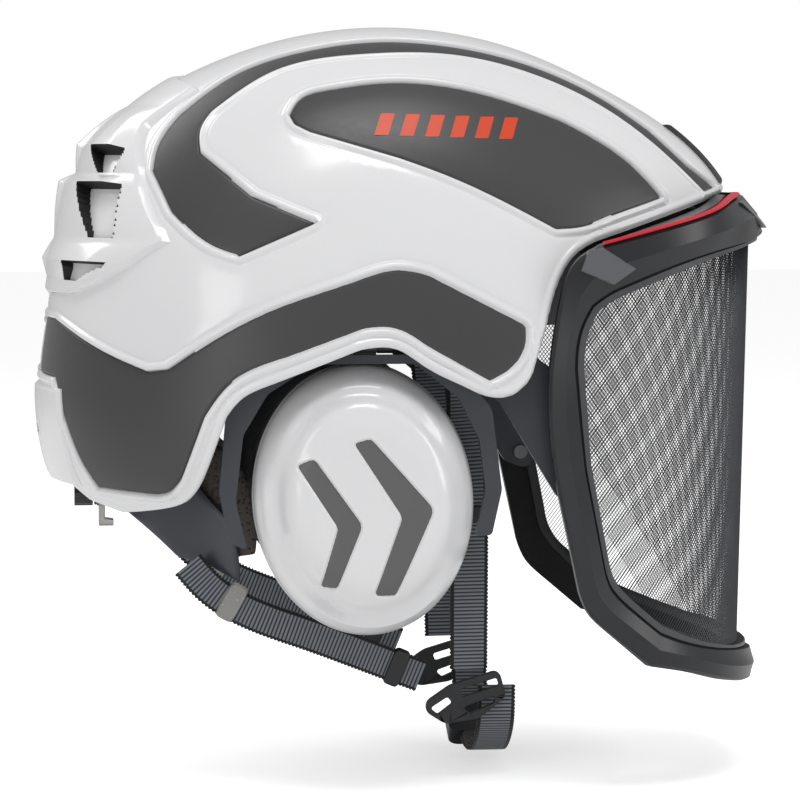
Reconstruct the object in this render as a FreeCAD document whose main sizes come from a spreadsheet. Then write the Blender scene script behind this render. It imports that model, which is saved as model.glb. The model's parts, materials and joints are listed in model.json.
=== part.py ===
import FreeCAD, Part
import math
import os

import Sketcher

# Forestry helmet: hard outer shell with inset panels, inner shell and head harness, a swinging
# mesh visor, two ear cups on sliding and swinging carriers, and a chin strap.
# Millimetres.  +X is where the wearer looks, +Z is up, -Y is the wearer's right hand.
# The origin is midway between the centres of the two ear cups.

os.makedirs("parts", exist_ok=True)
doc = FreeCAD.newDocument("forestry_helmet")
Vector = FreeCAD.Vector

# ---------------------------------------------------------------- driving sizes

SIZES = {
    "shell_half_width": 111.0,
    "shell_wall": 3.0,
    "dome_power": 2.35,
    "pole_height": 20.0,
    "front_taper": 0.22,
    "panel_sink": 0.7,
    "panel_wall": 0.9,
    "fit_gap": 0.15,
    "liner_side_inset": 27.0,
    "liner_crown_inset": 14.0,
    "liner_wall": 2.0,
    "band_half_length": 98.0,
    "band_half_width": 74.0,
    "band_wall": 2.0,
    "band_bottom": 66.0,
    "band_depth": 28.0,
    "visor_half_width": 99.0,
    "visor_root": 80.0,
    "visor_reach": 172.0,
    "visor_power": 2.2,
    "visor_lean": 0.024,
    "visor_wall": 7.0,
    "mesh_wall": 0.8,
    "arm_inner_face": 82.0,
    "arm_wall": 3.0,
    "visor_pivot_x": 20.0,
    "visor_pivot_z": 80.0,
    "visor_pin_radius": 4.0,
    "cup_half_width": 44.0,
    "cup_half_height": 54.5,
    "cup_top": 110.0,
    "cup_wall": 2.6,
    "chevron_depth": 1.0,
    "carrier_inner_face": 88.5,
    "carrier_wall": 4.0,
    "ear_hinge_y": 90.5,
    "ear_hinge_z": 61.0,
    "ear_pin_radius": 1.5,
    "knuckle_radius": 3.4,
    "cup_pivot_y": 92.5,
    "cup_pivot_z": -8.0,
    "cup_trunnion_radius": 1.2,
    "brow_gap": 2.8,
    "brow_height": 2.0,
    "screw_radius": 2.1,
    "screw_height": 24.0,
    "screw_half_spacing": 20.0,
    "webbing_width": 15.0,
    "webbing_wall": 1.8,
    "knob_radius": 12.0,
    "pinion_root": 3.2,
    "buckle_width": 24.0,
}

sheet = doc.addObject("Spreadsheet::Sheet", "Sizes")
for row, (alias, value) in enumerate(SIZES.items(), 1):
    sheet.set("A%d" % row, alias)
    sheet.set("B%d" % row, str(value))
    sheet.setAlias("B%d" % row, alias)
doc.recompute()


def size(alias):
    return float(sheet.get(alias))


# ---------------------------------------------------------------- nodes and small helpers

nodes = []


def keep(shape_object, label):
    """Give an object its node name and list it for export."""
    shape_object.Label = label
    nodes.append(shape_object)
    return shape_object


def freeform(label, shape):
    """A node whose surface is neither a sketch feature nor a primitive."""
    feature = doc.addObject("Part::Feature", label)
    feature.Shape = shape
    feature.Placement = FreeCAD.Placement()
    return keep(feature, label)


def mirrored(source, label):
    """The left-hand twin of a right-hand piece."""
    twin = doc.addObject("Part::Mirroring", label)
    twin.Source = source
    twin.Normal = (0, 1, 0)
    return keep(twin, label)


def twins(source, label):
    """One node that holds a right-hand piece and its left-hand twin as two solids."""
    nodes.remove(source)
    twin = doc.addObject("Part::Mirroring", label + "_twin")
    twin.Source = source
    twin.Normal = (0, 1, 0)
    group = doc.addObject("Part::Compound", label)
    group.Links = [source, twin]
    return keep(group, label)


def rounded_loop(points, radius):
    """Closed loop of lines whose corners are arcs; radius is one value or one per corner."""
    corners = [Vector(u, v, 0) for u, v in points]
    count = len(corners)
    radii = radius if isinstance(radius, (list, tuple)) else [radius] * count
    ends = []
    loop = []
    for i, corner in enumerate(corners):
        back = (corners[i - 1] - corner).normalize()
        ahead = (corners[(i + 1) % count] - corner).normalize()
        half = back.getAngle(ahead) / 2
        if radii[i] <= 0 or abs(half - math.pi / 2) < 1e-3:
            ends.append((corner, corner))
            continue
        reach = radii[i] / math.tan(half)
        centre = corner + (back + ahead).normalize() * (radii[i] / math.sin(half))
        middle = centre + (corner - centre).normalize() * radii[i]
        first = corner + back * reach
        last = corner + ahead * reach
        loop.append(Part.Arc(first, middle, last))
        ends.append((first, last))
    for i in range(count):
        start = ends[i][1]
        stop = ends[(i + 1) % count][0]
        if start.distanceToPoint(stop) > 1e-4:
            loop.append(Part.LineSegment(start, stop))
    return loop


def box_loop(u0, v0, u1, v1, radius=0.0):
    return rounded_loop([(u0, v0), (u1, v0), (u1, v1), (u0, v1)], radius)


def circle_loop(u, v, radius):
    return [Part.Circle(Vector(u, v, 0), Vector(0, 0, 1), radius)]


PLANES = {"side": "XZ_Plane", "top": "XY_Plane", "front": "YZ_Plane"}


def new_body(label):
    body = doc.addObject("PartDesign::Body", label)
    return keep(body, label)


def new_sketch(body, plane, loops, start=None):
    """Sketch on one of the body's origin planes.

    "side" has u = x, v = z and grows towards -Y; "top" has u = x, v = y and grows up;
    "front" has u = y, v = z and grows forwards.  start is the expression of its distance."""
    sketch = body.newObject("Sketcher::SketchObject", body.Name + "_sketch")
    origin = [f for f in body.Origin.OriginFeatures if f.Role == PLANES[plane]][0]
    sketch.AttachmentSupport = (origin, [""])
    sketch.MapMode = "FlatFace"
    for loop in loops:
        for curve in loop:
            sketch.addGeometry(curve, False)
    if start is not None:
        sketch.setExpression("AttachmentOffset.Base.z", start)
    return sketch


def pad(body, plane, loops, length, start=None):
    """Pad whose length and start are expressions over the sheet."""
    feature = body.newObject("PartDesign::Pad", body.Name + "_pad")
    feature.Profile = new_sketch(body, plane, loops, start)
    feature.setExpression("Length", length)
    return feature


def pocket(body, plane, loops, length, start=None):
    """Pocket that cuts along the sketch's growing direction."""
    feature = body.newObject("PartDesign::Pocket", body.Name + "_pocket")
    feature.Profile = new_sketch(body, plane, loops, start)
    feature.setExpression("Length", length)
    feature.Reversed = True
    return feature


def outline(start, *runs):
    """Closed side-view face.  Each run goes on from the last point: one point is a straight
    line, several are one smooth curve, and runs meet in corners."""
    edges = []
    here = start
    for run in runs + ([start],):
        points = [Vector(x, 0, z) for x, z in [here] + list(run)]
        if points[0].distanceToPoint(points[-1]) < 1e-6 and len(points) == 2:
            continue
        if len(points) == 2:
            edges.append(Part.makeLine(points[0], points[1]))
        else:
            curve = Part.BSplineCurve()
            curve.interpolate(points)
            edges.append(curve.toShape())
        here = run[-1]
    return Part.Face(Part.Wire(edges))


def across(face, y_from, y_to):
    """Side-view face swept from one y to another."""
    moved = face.copy()
    moved.translate(Vector(0, y_from, 0))
    return moved.extrude(Vector(0, y_to - y_from, 0))


def slab(x0, x1, y0, y1, z0, z1):
    return Part.makeBox(x1 - x0, y1 - y0, z1 - z0, Vector(x0, y0, z0))


# ---------------------------------------------------------------- dome of the helmet

# Side profile of the bare dome, forehead over the crown to the nape and closed underneath.
PROFILE = [(157, 121), (107, 162), (73, 177.5), (40, 185.5), (6, 187), (-27, 182), (-61, 170),
           (-94, 148), (-112, 121), (-120, 92), (-124, 66), (-127, 40), (-125, 16), (-118, -1),
           (-98, -15), (-50, -70), (20, -100), (110, -60), (160, 20), (168, 80)]


SLOPE_PASSES = 80


def profile_spline():
    """Periodic cubic of radius over angle about the pole: knot angles, radii and slopes."""
    polar = []
    for x, z in PROFILE:
        up = z - size("pole_height")
        polar.append((math.atan2(up, x) % (2 * math.pi), math.hypot(x, up)))
    polar.sort()
    angles = [a for a, r in polar]
    radii = [r for a, r in polar]
    count = len(polar)
    gaps = [(angles[(i + 1) % count] - angles[i]) % (2 * math.pi) for i in range(count)]
    rises = [(radii[(i + 1) % count] - radii[i]) / gaps[i] for i in range(count)]
    slopes = [0.0] * count
    for _ in range(SLOPE_PASSES):
        for i in range(count):
            before = gaps[i - 1]
            after = gaps[i]
            drive = 3 * (after * rises[i - 1] + before * rises[i])
            pull = after * slopes[i - 1] + before * slopes[(i + 1) % count]
            slopes[i] = (drive - pull) / (2 * (before + after))
    return angles, radii, slopes, gaps


KNOT_ANGLES, KNOT_RADII, KNOT_SLOPES, KNOT_GAPS = profile_spline()


def profile_radius(angle):
    count = len(KNOT_ANGLES)
    i = max([k for k in range(count) if KNOT_ANGLES[k] <= angle], default=count - 1)
    j = (i + 1) % count
    gap = KNOT_GAPS[i]
    u = ((angle - KNOT_ANGLES[i]) % (2 * math.pi)) / gap
    rest = 1 - u
    ends = KNOT_RADII[i] * rest * rest * (1 + 2 * u) + KNOT_RADII[j] * u * u * (3 - 2 * u)
    return ends + gap * u * rest * (KNOT_SLOPES[i] * rest - KNOT_SLOPES[j] * u)


def taper(x):
    """The shell narrows towards the forehead so that the visor can pass outside it."""
    ahead = max(0.0, x + 20.0)
    return 1 - size("front_taper") * (ahead / 180.0) ** 2


def dome_section(y, side_inset, crown_inset):
    """Closed curve of the dome at one y."""
    half_width = size("shell_half_width") - side_inset
    power = size("dome_power")
    points = []
    for step in range(DOME_STEPS):
        angle = 2 * math.pi * step / DOME_STEPS
        radius = profile_radius(angle) - crown_inset
        low = 0.0
        high = 1.0
        for _ in range(HALVINGS):
            share = (low + high) / 2
            x = share * radius * math.cos(angle)
            if half_width * taper(x) * (1 - share ** power) ** (1 / power) > abs(y):
                low = share
            else:
                high = share
        share = low if y else 1.0
        x = share * radius * math.cos(angle)
        z = share * radius * math.sin(angle) + size("pole_height")
        points.append(Vector(x, y, z))
    curve = Part.BSplineCurve()
    even = [float(step) for step in range(DOME_STEPS + 1)]
    curve.interpolate(Points=points, PeriodicFlag=True, Parameters=even)
    return Part.Wire([curve.toShape()])


DOME_STEPS = 48
HALVINGS = 40
SECTION_SHARES = [0.0, 0.14, 0.28, 0.42, 0.55, 0.66, 0.75, 0.83, 0.89, 0.94, 0.975]
domes = {}


def dome(side_inset, crown_inset=None):
    """Solid dome set in by the given amounts at its sides and along its crown."""
    crown_inset = side_inset if crown_inset is None else crown_inset
    key = (side_inset, crown_inset)
    if key not in domes:
        half_width = size("shell_half_width") - side_inset
        shares = [-s for s in reversed(SECTION_SHARES[1:])] + SECTION_SHARES
        wires = [dome_section(s * half_width, side_inset, crown_inset) for s in shares]
        domes[key] = Part.makeLoft(wires, True, False)
    return domes[key]


def skin(outer_inset, inner_inset, region):
    """Layer of the dome between two insets inside a region."""
    return dome(outer_inset).common(region).cut(dome(inner_inset))


# ---------------------------------------------------------------- side-view outlines

HIGH = 260.0
FAR_BACK = -160.0
FAR_FRONT = 200.0

RIM = outline((FAR_FRONT, 133.5), [(154, 119.6)], [(95, 102)], [(84, 96), (78, 88), (71, 67)],
              [(65, 48.5)], [(58, 42), (49, 41), (39, 45)], [(20, 55), (12, 60), (5, 61), (-3, 60)],
              [(-39, 46)], [(-49, 41), (-55, 34)], [(-65, 6)], [(-69, 0), (-78, -4), (-93, -7)],
              [(-106, -3)], [(-120, 7), (FAR_BACK, 20)], [(FAR_BACK, HIGH)], [(FAR_FRONT, HIGH)])

LOWER_BAND = outline((-145, 69), [(-120, 69)], [(-104, 59), (-85, 51)], [(-77, 52)],
                     [(-56, 66), (-36, 76), (-4, 87), (12, 91), (24, 89)], [(63, 69)],
                     [(63, 62), (58, 53), (48, 47)], [(23, 61)], [(10, 68), (-1, 68)], [(-31, 57)],
                     [(-54, 46), (-63, 34)], [(-72, 9)], [(-77, 3), (-87, 2)], [(-104, 3)],
                     [(-110, 12), (-117, 29)], [(-121, 46)], [(-145, 48)])

CREST = outline((-28, 151), [(-24, 157), (-13, 161), (11, 164), (48, 160), (82, 149)],
                [(111, 131), (123, 118)], [(100, 111)], [(88, 107), (76, 106)],
                [(33, 127), (14, 134)], [(-20, 144)], [(-26, 147)])

SWEEP = outline((-82, 129), [(-80, 138), (-71, 151)], [(-49, 167), (-20, 177), (10, 181), (33, 180),
                (80, 169), (103, 158), (122, 145)], [(137, 131)], [(150, 122)], [(143, 120)],
                [(121, 140), (103, 153), (73, 167), (38, 175), (4, 175), (-33, 168), (-58, 152)],
                [(-63, 144), (-63, 136)], [(-43, 119)], [(-19, 109)], [(-49, 96)],
                [(-60, 100), (-75, 113)])

COWL = outline((-60, 161), [(-83, 146), (-88, 130), (-83, 112)], [(-77, 101)], [(-92, 90)],
               [(-110, 80)], [(-150, 74)], [(-150, 175)], [(-90, 185)])

BROW = outline((150, 122), [(137, 131)], [(126, 142)], [(140, 152)], [(175, 126)], [(157, 120.5)])

REAR_PLATE = outline((-117, 41), [(-111, 20), (-104, -1)], [(-107, -2)], [(-118, 4)], [(-145, 4)],
                     [(-145, 43)])


def inset_face(face, gap):
    """The face drawn in by a gap all round."""
    return face.makeOffset2D(-gap).toNurbs()


# ---------------------------------------------------------------- hard shell and its panels

WIDE = 130.0
WALL = size("shell_wall")
SINK = size("panel_sink")
FLOOR = SINK + size("panel_wall") + size("fit_gap")
GAP = size("fit_gap")

# The two arms of the sweep panel stop this far from the middle plane.
SWEEP_ARM_Y = 16.0


def panel_region(face, side):
    """Where a panel lies: right (-1), left (+1) or both sides (0)."""
    if side == 0:
        return across(face, -WIDE, WIDE)
    if side < 0:
        return across(face, -WIDE, -SWEEP_ARM_Y)
    return across(face, SWEEP_ARM_Y, WIDE)


def screw_drilled(body):
    """The body with the two accessory screw holes at its rear."""
    for side in (-1, 1):
        start = Vector(-150, side * size("screw_half_spacing"), size("screw_height"))
        body = body.cut(Part.makeCylinder(size("screw_radius"), 60, start, Vector(1, 0, 0)))
    return body


def make_shell():
    body = dome(0).common(across(RIM, -WIDE, WIDE)).cut(dome(WALL))
    for face, sides in ((LOWER_BAND, (0,)), (CREST, (-1, 1)), (SWEEP, (-1, 1))):
        for side in sides:
            body = body.cut(panel_region(face, side).cut(dome(FLOOR)))
    return freeform("outer_shell", screw_drilled(body))


def make_panel(label, face, side):
    region = panel_region(inset_face(face, GAP), side)
    if side:
        edge = slab(-200, 200, -SWEEP_ARM_Y - GAP, SWEEP_ARM_Y + GAP, -50, HIGH)
        region = region.cut(edge)
    return freeform(label, skin(SINK, FLOOR - GAP, region))


def make_brow_vent():
    """Raised dark grille at the top of the forehead, with three slots."""
    region = across(inset_face(BROW, GAP), -15.0, 15.0)
    body = dome(-size("brow_height")).common(region).cut(dome(-GAP))
    for step in (-1, 0, 1):
        body = body.cut(slab(120, 180, step * 8.0 - 1.5, step * 8.0 + 1.5, 127.0, 137.0))
    return freeform("brow_vent", body)


def make_cowl():
    """Rear vent cowl: a low base and three hooded louvres, each standing over the next."""
    half = 86.0
    base = dome(-2.0).common(across(COWL, -half, half)).cut(dome(-GAP))
    steps = [(152, 127, -7.0), (129, 106, -5.5), (108, 90, -4.0)]
    body = base
    for top, bottom, inset in steps:
        hood = across(COWL, -half + 3, half - 3)
        hood = hood.common(slab(-160, -91, -half, half, bottom, top))
        body = body.fuse(dome(inset).common(hood).cut(dome(-GAP)))
    for side in (-1, 1):
        for low, high in ((131, 138), (110, 117)):
            y0, y1 = sorted((side * 28.0, side * 58.0))
            body = body.cut(slab(-150, -92, y0, y1, low, high))
    return freeform("rear_vent_cowl", body.removeSplitter())


def make_rear_plate():
    """White plate under the cowl with the two accessory screw holes."""
    region = across(REAR_PLATE, -55.0, 55.0)
    body = dome(-1.6).common(region).cut(dome(-GAP))
    return freeform("rear_plate", screw_drilled(body))


shell = make_shell()
make_panel("lower_band_panel", LOWER_BAND, 0)
make_panel("crest_panel_right", CREST, -1)
make_panel("crest_panel_left", CREST, 1)
make_panel("sweep_panel_right", SWEEP, -1)
make_panel("sweep_panel_left", SWEEP, 1)
make_brow_vent()
make_cowl()
make_rear_plate()

# ---------------------------------------------------------------- inner shell and head harness

LINER_RIM = outline((FAR_FRONT, 138), [(104, 108)], [(84, 92)], [(68, 70)], [(-58, 68)], [(-68, 50)],
                    [(-78, 34)], [(FAR_BACK, 34)], [(FAR_BACK, HIGH)], [(FAR_FRONT, HIGH)])


def make_inner_shell():
    side = size("liner_side_inset")
    crown = size("liner_crown_inset")
    wall = size("liner_wall")
    body = dome(side, crown).common(across(LINER_RIM, -WIDE, WIDE))
    return freeform("inner_shell", body.cut(dome(side + wall, crown + wall)))


def oval_solid(x, half_length, half_width, z0, z1):
    """Upright oval column centred on the middle plane."""
    oval = Part.Ellipse(Vector(x + half_length, 0, z0), Vector(x, half_width, z0), Vector(x, 0, z0))
    return Part.Face(Part.Wire([oval.toShape()])).extrude(Vector(0, 0, z1 - z0))


def oval_ring(x, half_length, half_width, wall, z0, z1):
    outer = oval_solid(x, half_length, half_width, z0, z1)
    return outer.cut(oval_solid(x, half_length - wall, half_width - wall, z0, z1))


BAND_BOTTOM = size("band_bottom")
BAND_TOP = BAND_BOTTOM + size("band_depth")


def make_head_band():
    """Oval band round the head with two tails that go down to the nape cradle."""
    wall = size("band_wall")
    ring = oval_ring(0, size("band_half_length"), size("band_half_width"), wall, BAND_BOTTOM, BAND_TOP)
    tail_space = slab(-95, -78, -60, 60, 12.5, BAND_BOTTOM + 6)
    tails = oval_ring(0, size("band_half_length"), size("band_half_width"), wall, 12.5, BAND_BOTTOM + 6)
    return freeform("head_band", ring.fuse(tails.common(tail_space)).removeSplitter())


def make_sweat_band():
    wall = size("band_wall")
    length = size("band_half_length") - wall - GAP
    width = size("band_half_width") - wall - GAP
    ring = oval_ring(0, length, width, 5.0, BAND_BOTTOM + 2, BAND_TOP - 2)
    return freeform("sweat_band", ring.common(slab(30, 120, -90, 90, 0, HIGH)))


def egg(length, width, height):
    """Upper half of the head form, on the level of the head band's lower edge."""
    ball = Part.makeSphere(1.0)
    grow = FreeCAD.Matrix()
    grow.scale(Vector(length, width, height))
    body = ball.transformGeometry(grow)
    body.translate(Vector(0, 0, 60))
    return body


def make_crown_cradle():
    """Six webbing arms that meet over the crown, hung from the head band."""
    layer = egg(105, 79, 90).cut(egg(103.4, 77.4, 88.4))
    arms = None
    for turn in (0, 60, 120):
        arm = slab(-120, 120, -8, 8, BAND_TOP + 0.3, HIGH)
        arm.rotate(Vector(0, 0, 0), Vector(0, 0, 1), turn)
        arms = arm if arms is None else arms.fuse(arm)
    return freeform("crown_cradle", layer.common(arms))


def make_crown_pad():
    disc = Part.makeCylinder(32, 60, Vector(0, 0, 110))
    return freeform("crown_pad", egg(103.2, 77.2, 88.2).cut(egg(98, 72, 83)).common(disc))


NAPE = outline((-106, -6), [(-94, -8)], [(-82, -17), (-72, -26)], [(-58, -30)], [(-47, -36)],
               [(-48, -23), (-52, -10)], [(-63, 2), (-70, 12)], [(-106, 12)])


def make_nape_cradle():
    """Curved shield that holds the helmet down at the nape."""
    ring = oval_ring(-20, 80, 62, 3.0, -40, 12)
    body = ring.common(across(NAPE, -WIDE, WIDE))
    return freeform("nape_cradle", body)


def make_nape_pad():
    """Perforated pad inside the shield that stands up past its edges."""
    face = outline((-104, 30), [(-98, -5)], [(-80, -14), (-66, -24)], [(-50, -28)], [(-40, -26)],
                   [(-38, -8), (-48, 14), (-62, 24)], [(-84, 30)])
    ring = oval_ring(-20, 76.8, 58.8, 4.0, -40, 30).common(across(face, -WIDE, WIDE))
    behind = size("band_wall") + GAP
    clear = oval_solid(0, size("band_half_length") - behind, size("band_half_width") - behind,
                       12, 30)
    low = slab(-120, 0, -90, 90, -40, 12)
    return freeform("nape_pad", ring.common(clear.fuse(low)).removeSplitter())


def make_liner_posts():
    """Six posts that hold the inner shell inside the outer one."""
    layer = dome(WALL + GAP).cut(dome(size("liner_side_inset") - GAP, size("liner_crown_inset") - GAP))
    columns = None
    for x, y in ((70, 30), (70, -30), (0, 40), (0, -40), (-60, 30), (-60, -30)):
        column = Part.makeCylinder(6, 90, Vector(x, y, 110))
        columns = column if columns is None else columns.fuse(column)
    return freeform("liner_posts", layer.common(columns))


def make_cape_clip():
    """Clear hook under the rear rim for a neck cape."""
    clip = new_body("cape_clip")
    hook = rounded_loop([(-103, -15), (-97, -15), (-97, -12.5), (-100.4, -12), (-100.4, -4),
                         (-103, -4)], 0)
    pad(clip, "side", [hook], "7", "27")
    return clip


make_inner_shell()
make_liner_posts()
make_cape_clip()
make_head_band()
make_sweat_band()
make_crown_cradle()
make_crown_pad()
make_nape_cradle()
make_nape_pad()

# ---------------------------------------------------------------- size ratchet at the nape

RATCHET_Z = 2.0


def make_ratchet():
    """Housing behind the nape shield, the knob with its pinion, and the two racks it drives."""
    housing = new_body("ratchet_housing")
    pad(housing, "front", [box_loop(-26, RATCHET_Z - 9.5, 26, RATCHET_Z + 9.5, 4)], "0.8", "-101.2")
    wall = rounded_loop([(-26, RATCHET_Z - 9.5), (26, RATCHET_Z - 9.5), (26, RATCHET_Z - 6.6),
                         (-26, RATCHET_Z - 6.6)], 0)
    pad(housing, "front", [wall], "2.6", "-103.6")
    upper = rounded_loop([(-26, RATCHET_Z + 6.6), (26, RATCHET_Z + 6.6), (26, RATCHET_Z + 9.5),
                          (-26, RATCHET_Z + 9.5)], 0)
    pad(housing, "front", [upper], "2.6", "-103.6")

    cover = new_body("ratchet_cover")
    pad(cover, "front", [box_loop(-26, RATCHET_Z - 9.5, 26, RATCHET_Z + 9.5, 4),
                         circle_loop(0, RATCHET_Z, 3.0)], "0.9", "-104.6")

    knob = new_body("ratchet_knob")
    radius = size("knob_radius")
    grip = []
    flutes = 12
    for i in range(flutes):
        for share, reach in ((0.0, 1.0), (0.25, 1.0), (0.5, 0.9), (0.75, 0.9)):
            angle = 2 * math.pi * (i + share) / flutes
            grip.append((reach * radius * math.cos(angle), RATCHET_Z + reach * radius * math.sin(angle)))
    pad(knob, "front", [rounded_loop(grip, 0.5)], "7.6", "-112.6")
    pad(knob, "front", [circle_loop(0, RATCHET_Z, 2.9)], "1.6", "-105.1")
    teeth = 10
    root = size("pinion_root")
    gear = []
    for i in range(teeth):
        for share, reach in ((-0.26, 0.0), (-0.13, 1.3), (0.13, 1.3), (0.26, 0.0)):
            angle = 2 * math.pi * (i + share) / teeth
            gear.append(((root + reach) * math.cos(angle), RATCHET_Z + (root + reach) * math.sin(angle)))
    pad(knob, "front", [rounded_loop(gear, 0)], "2.0", "-103.5")


def make_rack(label, side):
    """Toothed strip; the right one runs over the pinion and the left one under it."""
    pitch = 2 * math.pi * 3.9 / 10
    base = RATCHET_Z - side * 6.4
    tooth_root = RATCHET_Z - side * 5.0
    tip = RATCHET_Z - side * 3.8
    points = [(side * 40.0, base), (-side * 10.0, base), (-side * 10.0, tooth_root)]
    for i in range(-3, 4):
        middle = side * i * pitch
        for share, height in ((-0.24, tooth_root), (-0.12, tip), (0.12, tip), (0.24, tooth_root)):
            points.append((middle + side * share * pitch, height))
    points.append((side * 40.0, tooth_root))
    rack = new_body(label)
    pad(rack, "front", [rounded_loop(points, 0)], "1.8", "-103.4")
    return rack


make_ratchet()
make_rack("size_rack_right", -1)
make_rack("size_rack_left", 1)

# ---------------------------------------------------------------- visor

PIVOT_X = size("visor_pivot_x")
PIVOT_Z = size("visor_pivot_z")


def visor_column(grow):
    """Column with the visor's plan curve, leaning back slightly towards its lower edge."""
    power = size("visor_power")
    root = size("visor_root")
    wires = []
    for z in (-95.0, 140.0):
        reach = size("visor_reach") - (100 - z) * size("visor_lean") - root + grow
        half = size("visor_half_width") + grow
        arc = []
        for step in range(-24, 25):
            angle = math.pi / 2 * step / 24
            x = reach * max(math.cos(angle), 0.0) ** (2 / power)
            y = half * math.copysign(abs(math.sin(angle)) ** (2 / power), angle)
            arc.append(Vector(root + x, y, z))
        arc[0].y = -half
        arc[-1].y = half
        curve = Part.BSplineCurve()
        curve.interpolate(Points=arc, Parameters=[float(i) for i in range(len(arc))])
        back = [arc[-1], Vector(20, half, z), Vector(20, -half, z), arc[0]]
        edges = [curve.toShape()] + [Part.makeLine(back[i], back[i + 1]) for i in range(3)]
        wires.append(Part.Wire(edges))
    return Part.makeLoft(wires, True, True)


VISOR_EDGE = outline((92, 99.6), [(158, 118.8)], [(172, 107)], [(190, 100)], [(190, -84)],
                     [(168, -82), (150, -77), (135, -72), (114, -67)], [(94, -51)],
                     [(88, -45), (84, -36)], [(76, 1)], [(72, 30), (72, 50), (75, 72)],
                     [(77.5, 84), (82, 93)])

VISOR_WINDOW = outline((190, 101), [(169, 99.5), (155, 97), (143, 94), (124, 88)], [(105, 81)],
                       [(92, 74), (88, 66), (86, 52)], [(89, 14)], [(96, -22)],
                       [(99, -32), (106, -40)], [(119, -51), (135, -58), (155, -64), (190, -68)])

TOP_BAND = outline((92, 103), [(92, 88)], [(120, 90), (145, 97), (175, 101.5)], [(200, 101.5)],
                   [(200, 130)], [(150, 130)])


def make_visor():
    wall = size("visor_wall")
    edge = across(VISOR_EDGE, -WIDE, WIDE)
    window = across(VISOR_WINDOW, -WIDE, WIDE)
    outer = visor_column(2.0)
    hoop = outer.common(edge).cut(visor_column(2.0 - wall)).cut(window)
    shelf = outer.common(edge).common(across(TOP_BAND, -WIDE, WIDE)).cut(dome(-size("brow_gap")))
    frame = hoop.fuse(shelf).cut(window).removeSplitter()
    freeform("visor_frame", frame)

    mesh_outer = 2.0 - wall - GAP
    mesh_inner = mesh_outer - size("mesh_wall")
    grown = VISOR_WINDOW.makeOffset2D(4.0).toNurbs()
    limit = across(outline((60, 98), [(120, 100)], [(190, 108)], [(190, -74)], [(110, -62)],
                           [(80, -40)]), -WIDE, WIDE)
    spread = across(grown, -WIDE, WIDE).common(limit).common(edge)
    clear = dome(-1.6).common(slab(60, 200, -WIDE, WIDE, 97, 150))
    sheet_body = visor_column(mesh_outer).common(spread).cut(visor_column(mesh_inner))
    freeform("visor_mesh", sheet_body.cut(clear).cut(frame))

    ring_outer = mesh_inner - GAP
    ring = visor_column(ring_outer).common(spread).cut(visor_column(ring_outer - 1.5)).cut(window)
    freeform("mesh_retainer", ring.cut(clear).cut(frame))

    line = outline((93, 100.1), [(158, 119.1)], [(158, 120.3)], [(93, 101.2)])
    lip = visor_column(1.6).common(across(line, -WIDE, WIDE)).cut(visor_column(-1.0))
    freeform("visor_seal", lip)


make_visor()


def make_visor_arm():
    """Side plate from the pivot, under the shell's temple, to the inside of the visor frame."""
    arm = new_body("visor_arm_right")
    plate = rounded_loop([(PIVOT_X - 12, PIVOT_Z + 8), (PIVOT_X - 10, PIVOT_Z - 10), (54, 38),
                          (77, 0), (88, -4), (91, 8), (84, 38), (76, 50), (62, 60),
                          (PIVOT_X + 8, PIVOT_Z + 12)], [8, 9, 6, 5, 4, 3, 8, 10, 12, 8])
    pad(arm, "side", [plate, circle_loop(PIVOT_X, PIVOT_Z, size("visor_pin_radius") + 0.06)],
        "Sizes.arm_wall", "Sizes.arm_inner_face")
    foot = rounded_loop([(79, 0), (88.5, -2), (89.5, 9), (82, 12)], 2)
    pad(arm, "side", [foot], "Sizes.visor_half_width + 2 - Sizes.visor_wall - 3.2 "
        "- Sizes.arm_inner_face - Sizes.arm_wall", "Sizes.arm_inner_face + Sizes.arm_wall")
    hole = circle_loop(ARM_SCREW_X, ARM_SCREW_Z, 1.55)
    pocket(arm, "side", [hole], "12", "Sizes.arm_inner_face - 1")
    return arm


def make_arm_screw():
    """Low-headed screw that holds the arm's foot to the visor frame."""
    screw = new_body("arm_screw")
    pad(screw, "side", [circle_loop(ARM_SCREW_X, ARM_SCREW_Z, 3.0)], "1.7",
        "Sizes.arm_inner_face - 1.8")
    pad(screw, "side", [circle_loop(ARM_SCREW_X, ARM_SCREW_Z, 1.5)], "9.2",
        "Sizes.arm_inner_face - 0.2")
    return screw


def make_visor_pin():
    """Shouldered pivot pin standing on the shell bracket; the arm turns on it."""
    pin = new_body("visor_pin")
    pad(pin, "side", [circle_loop(PIVOT_X, PIVOT_Z, size("visor_pin_radius"))],
        "Sizes.arm_wall + 2.1", "Sizes.arm_inner_face - 1.1")
    pad(pin, "side", [circle_loop(PIVOT_X, PIVOT_Z, size("visor_pin_radius") + 2.5)],
        "1.0", "Sizes.arm_inner_face - 1.2")
    return pin


ARM_SCREW_X = 84.0
ARM_SCREW_Z = 4.0

arm_right = make_visor_arm()
mirrored(arm_right, "visor_arm_left")
visor_pin = make_visor_pin()
twins(visor_pin, "visor_pins")
twins(make_arm_screw(), "arm_screws")

# ---------------------------------------------------------------- ear carriers and cups

HINGE_Y = size("ear_hinge_y")
HINGE_Z = size("ear_hinge_z")


def make_ear_bracket():
    """Slotted plate fixed inside the shell, with the visor pin's boss at its front."""
    bracket = new_body("ear_bracket")
    frame = rounded_loop([(-16, 68), (30, 68), (34, 80), (30, 92), (16, 104), (-16, 104)], 4)
    slot = rounded_loop([(-2.9, 71), (2.9, 71), (2.9, 97), (-2.9, 97)], 2.8)
    pad(bracket, "side", [frame, slot], "2.4", "93.2")
    pad(bracket, "side", [circle_loop(PIVOT_X, PIVOT_Z, 6.0)], "7.4", "86.0")
    return bracket


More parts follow.
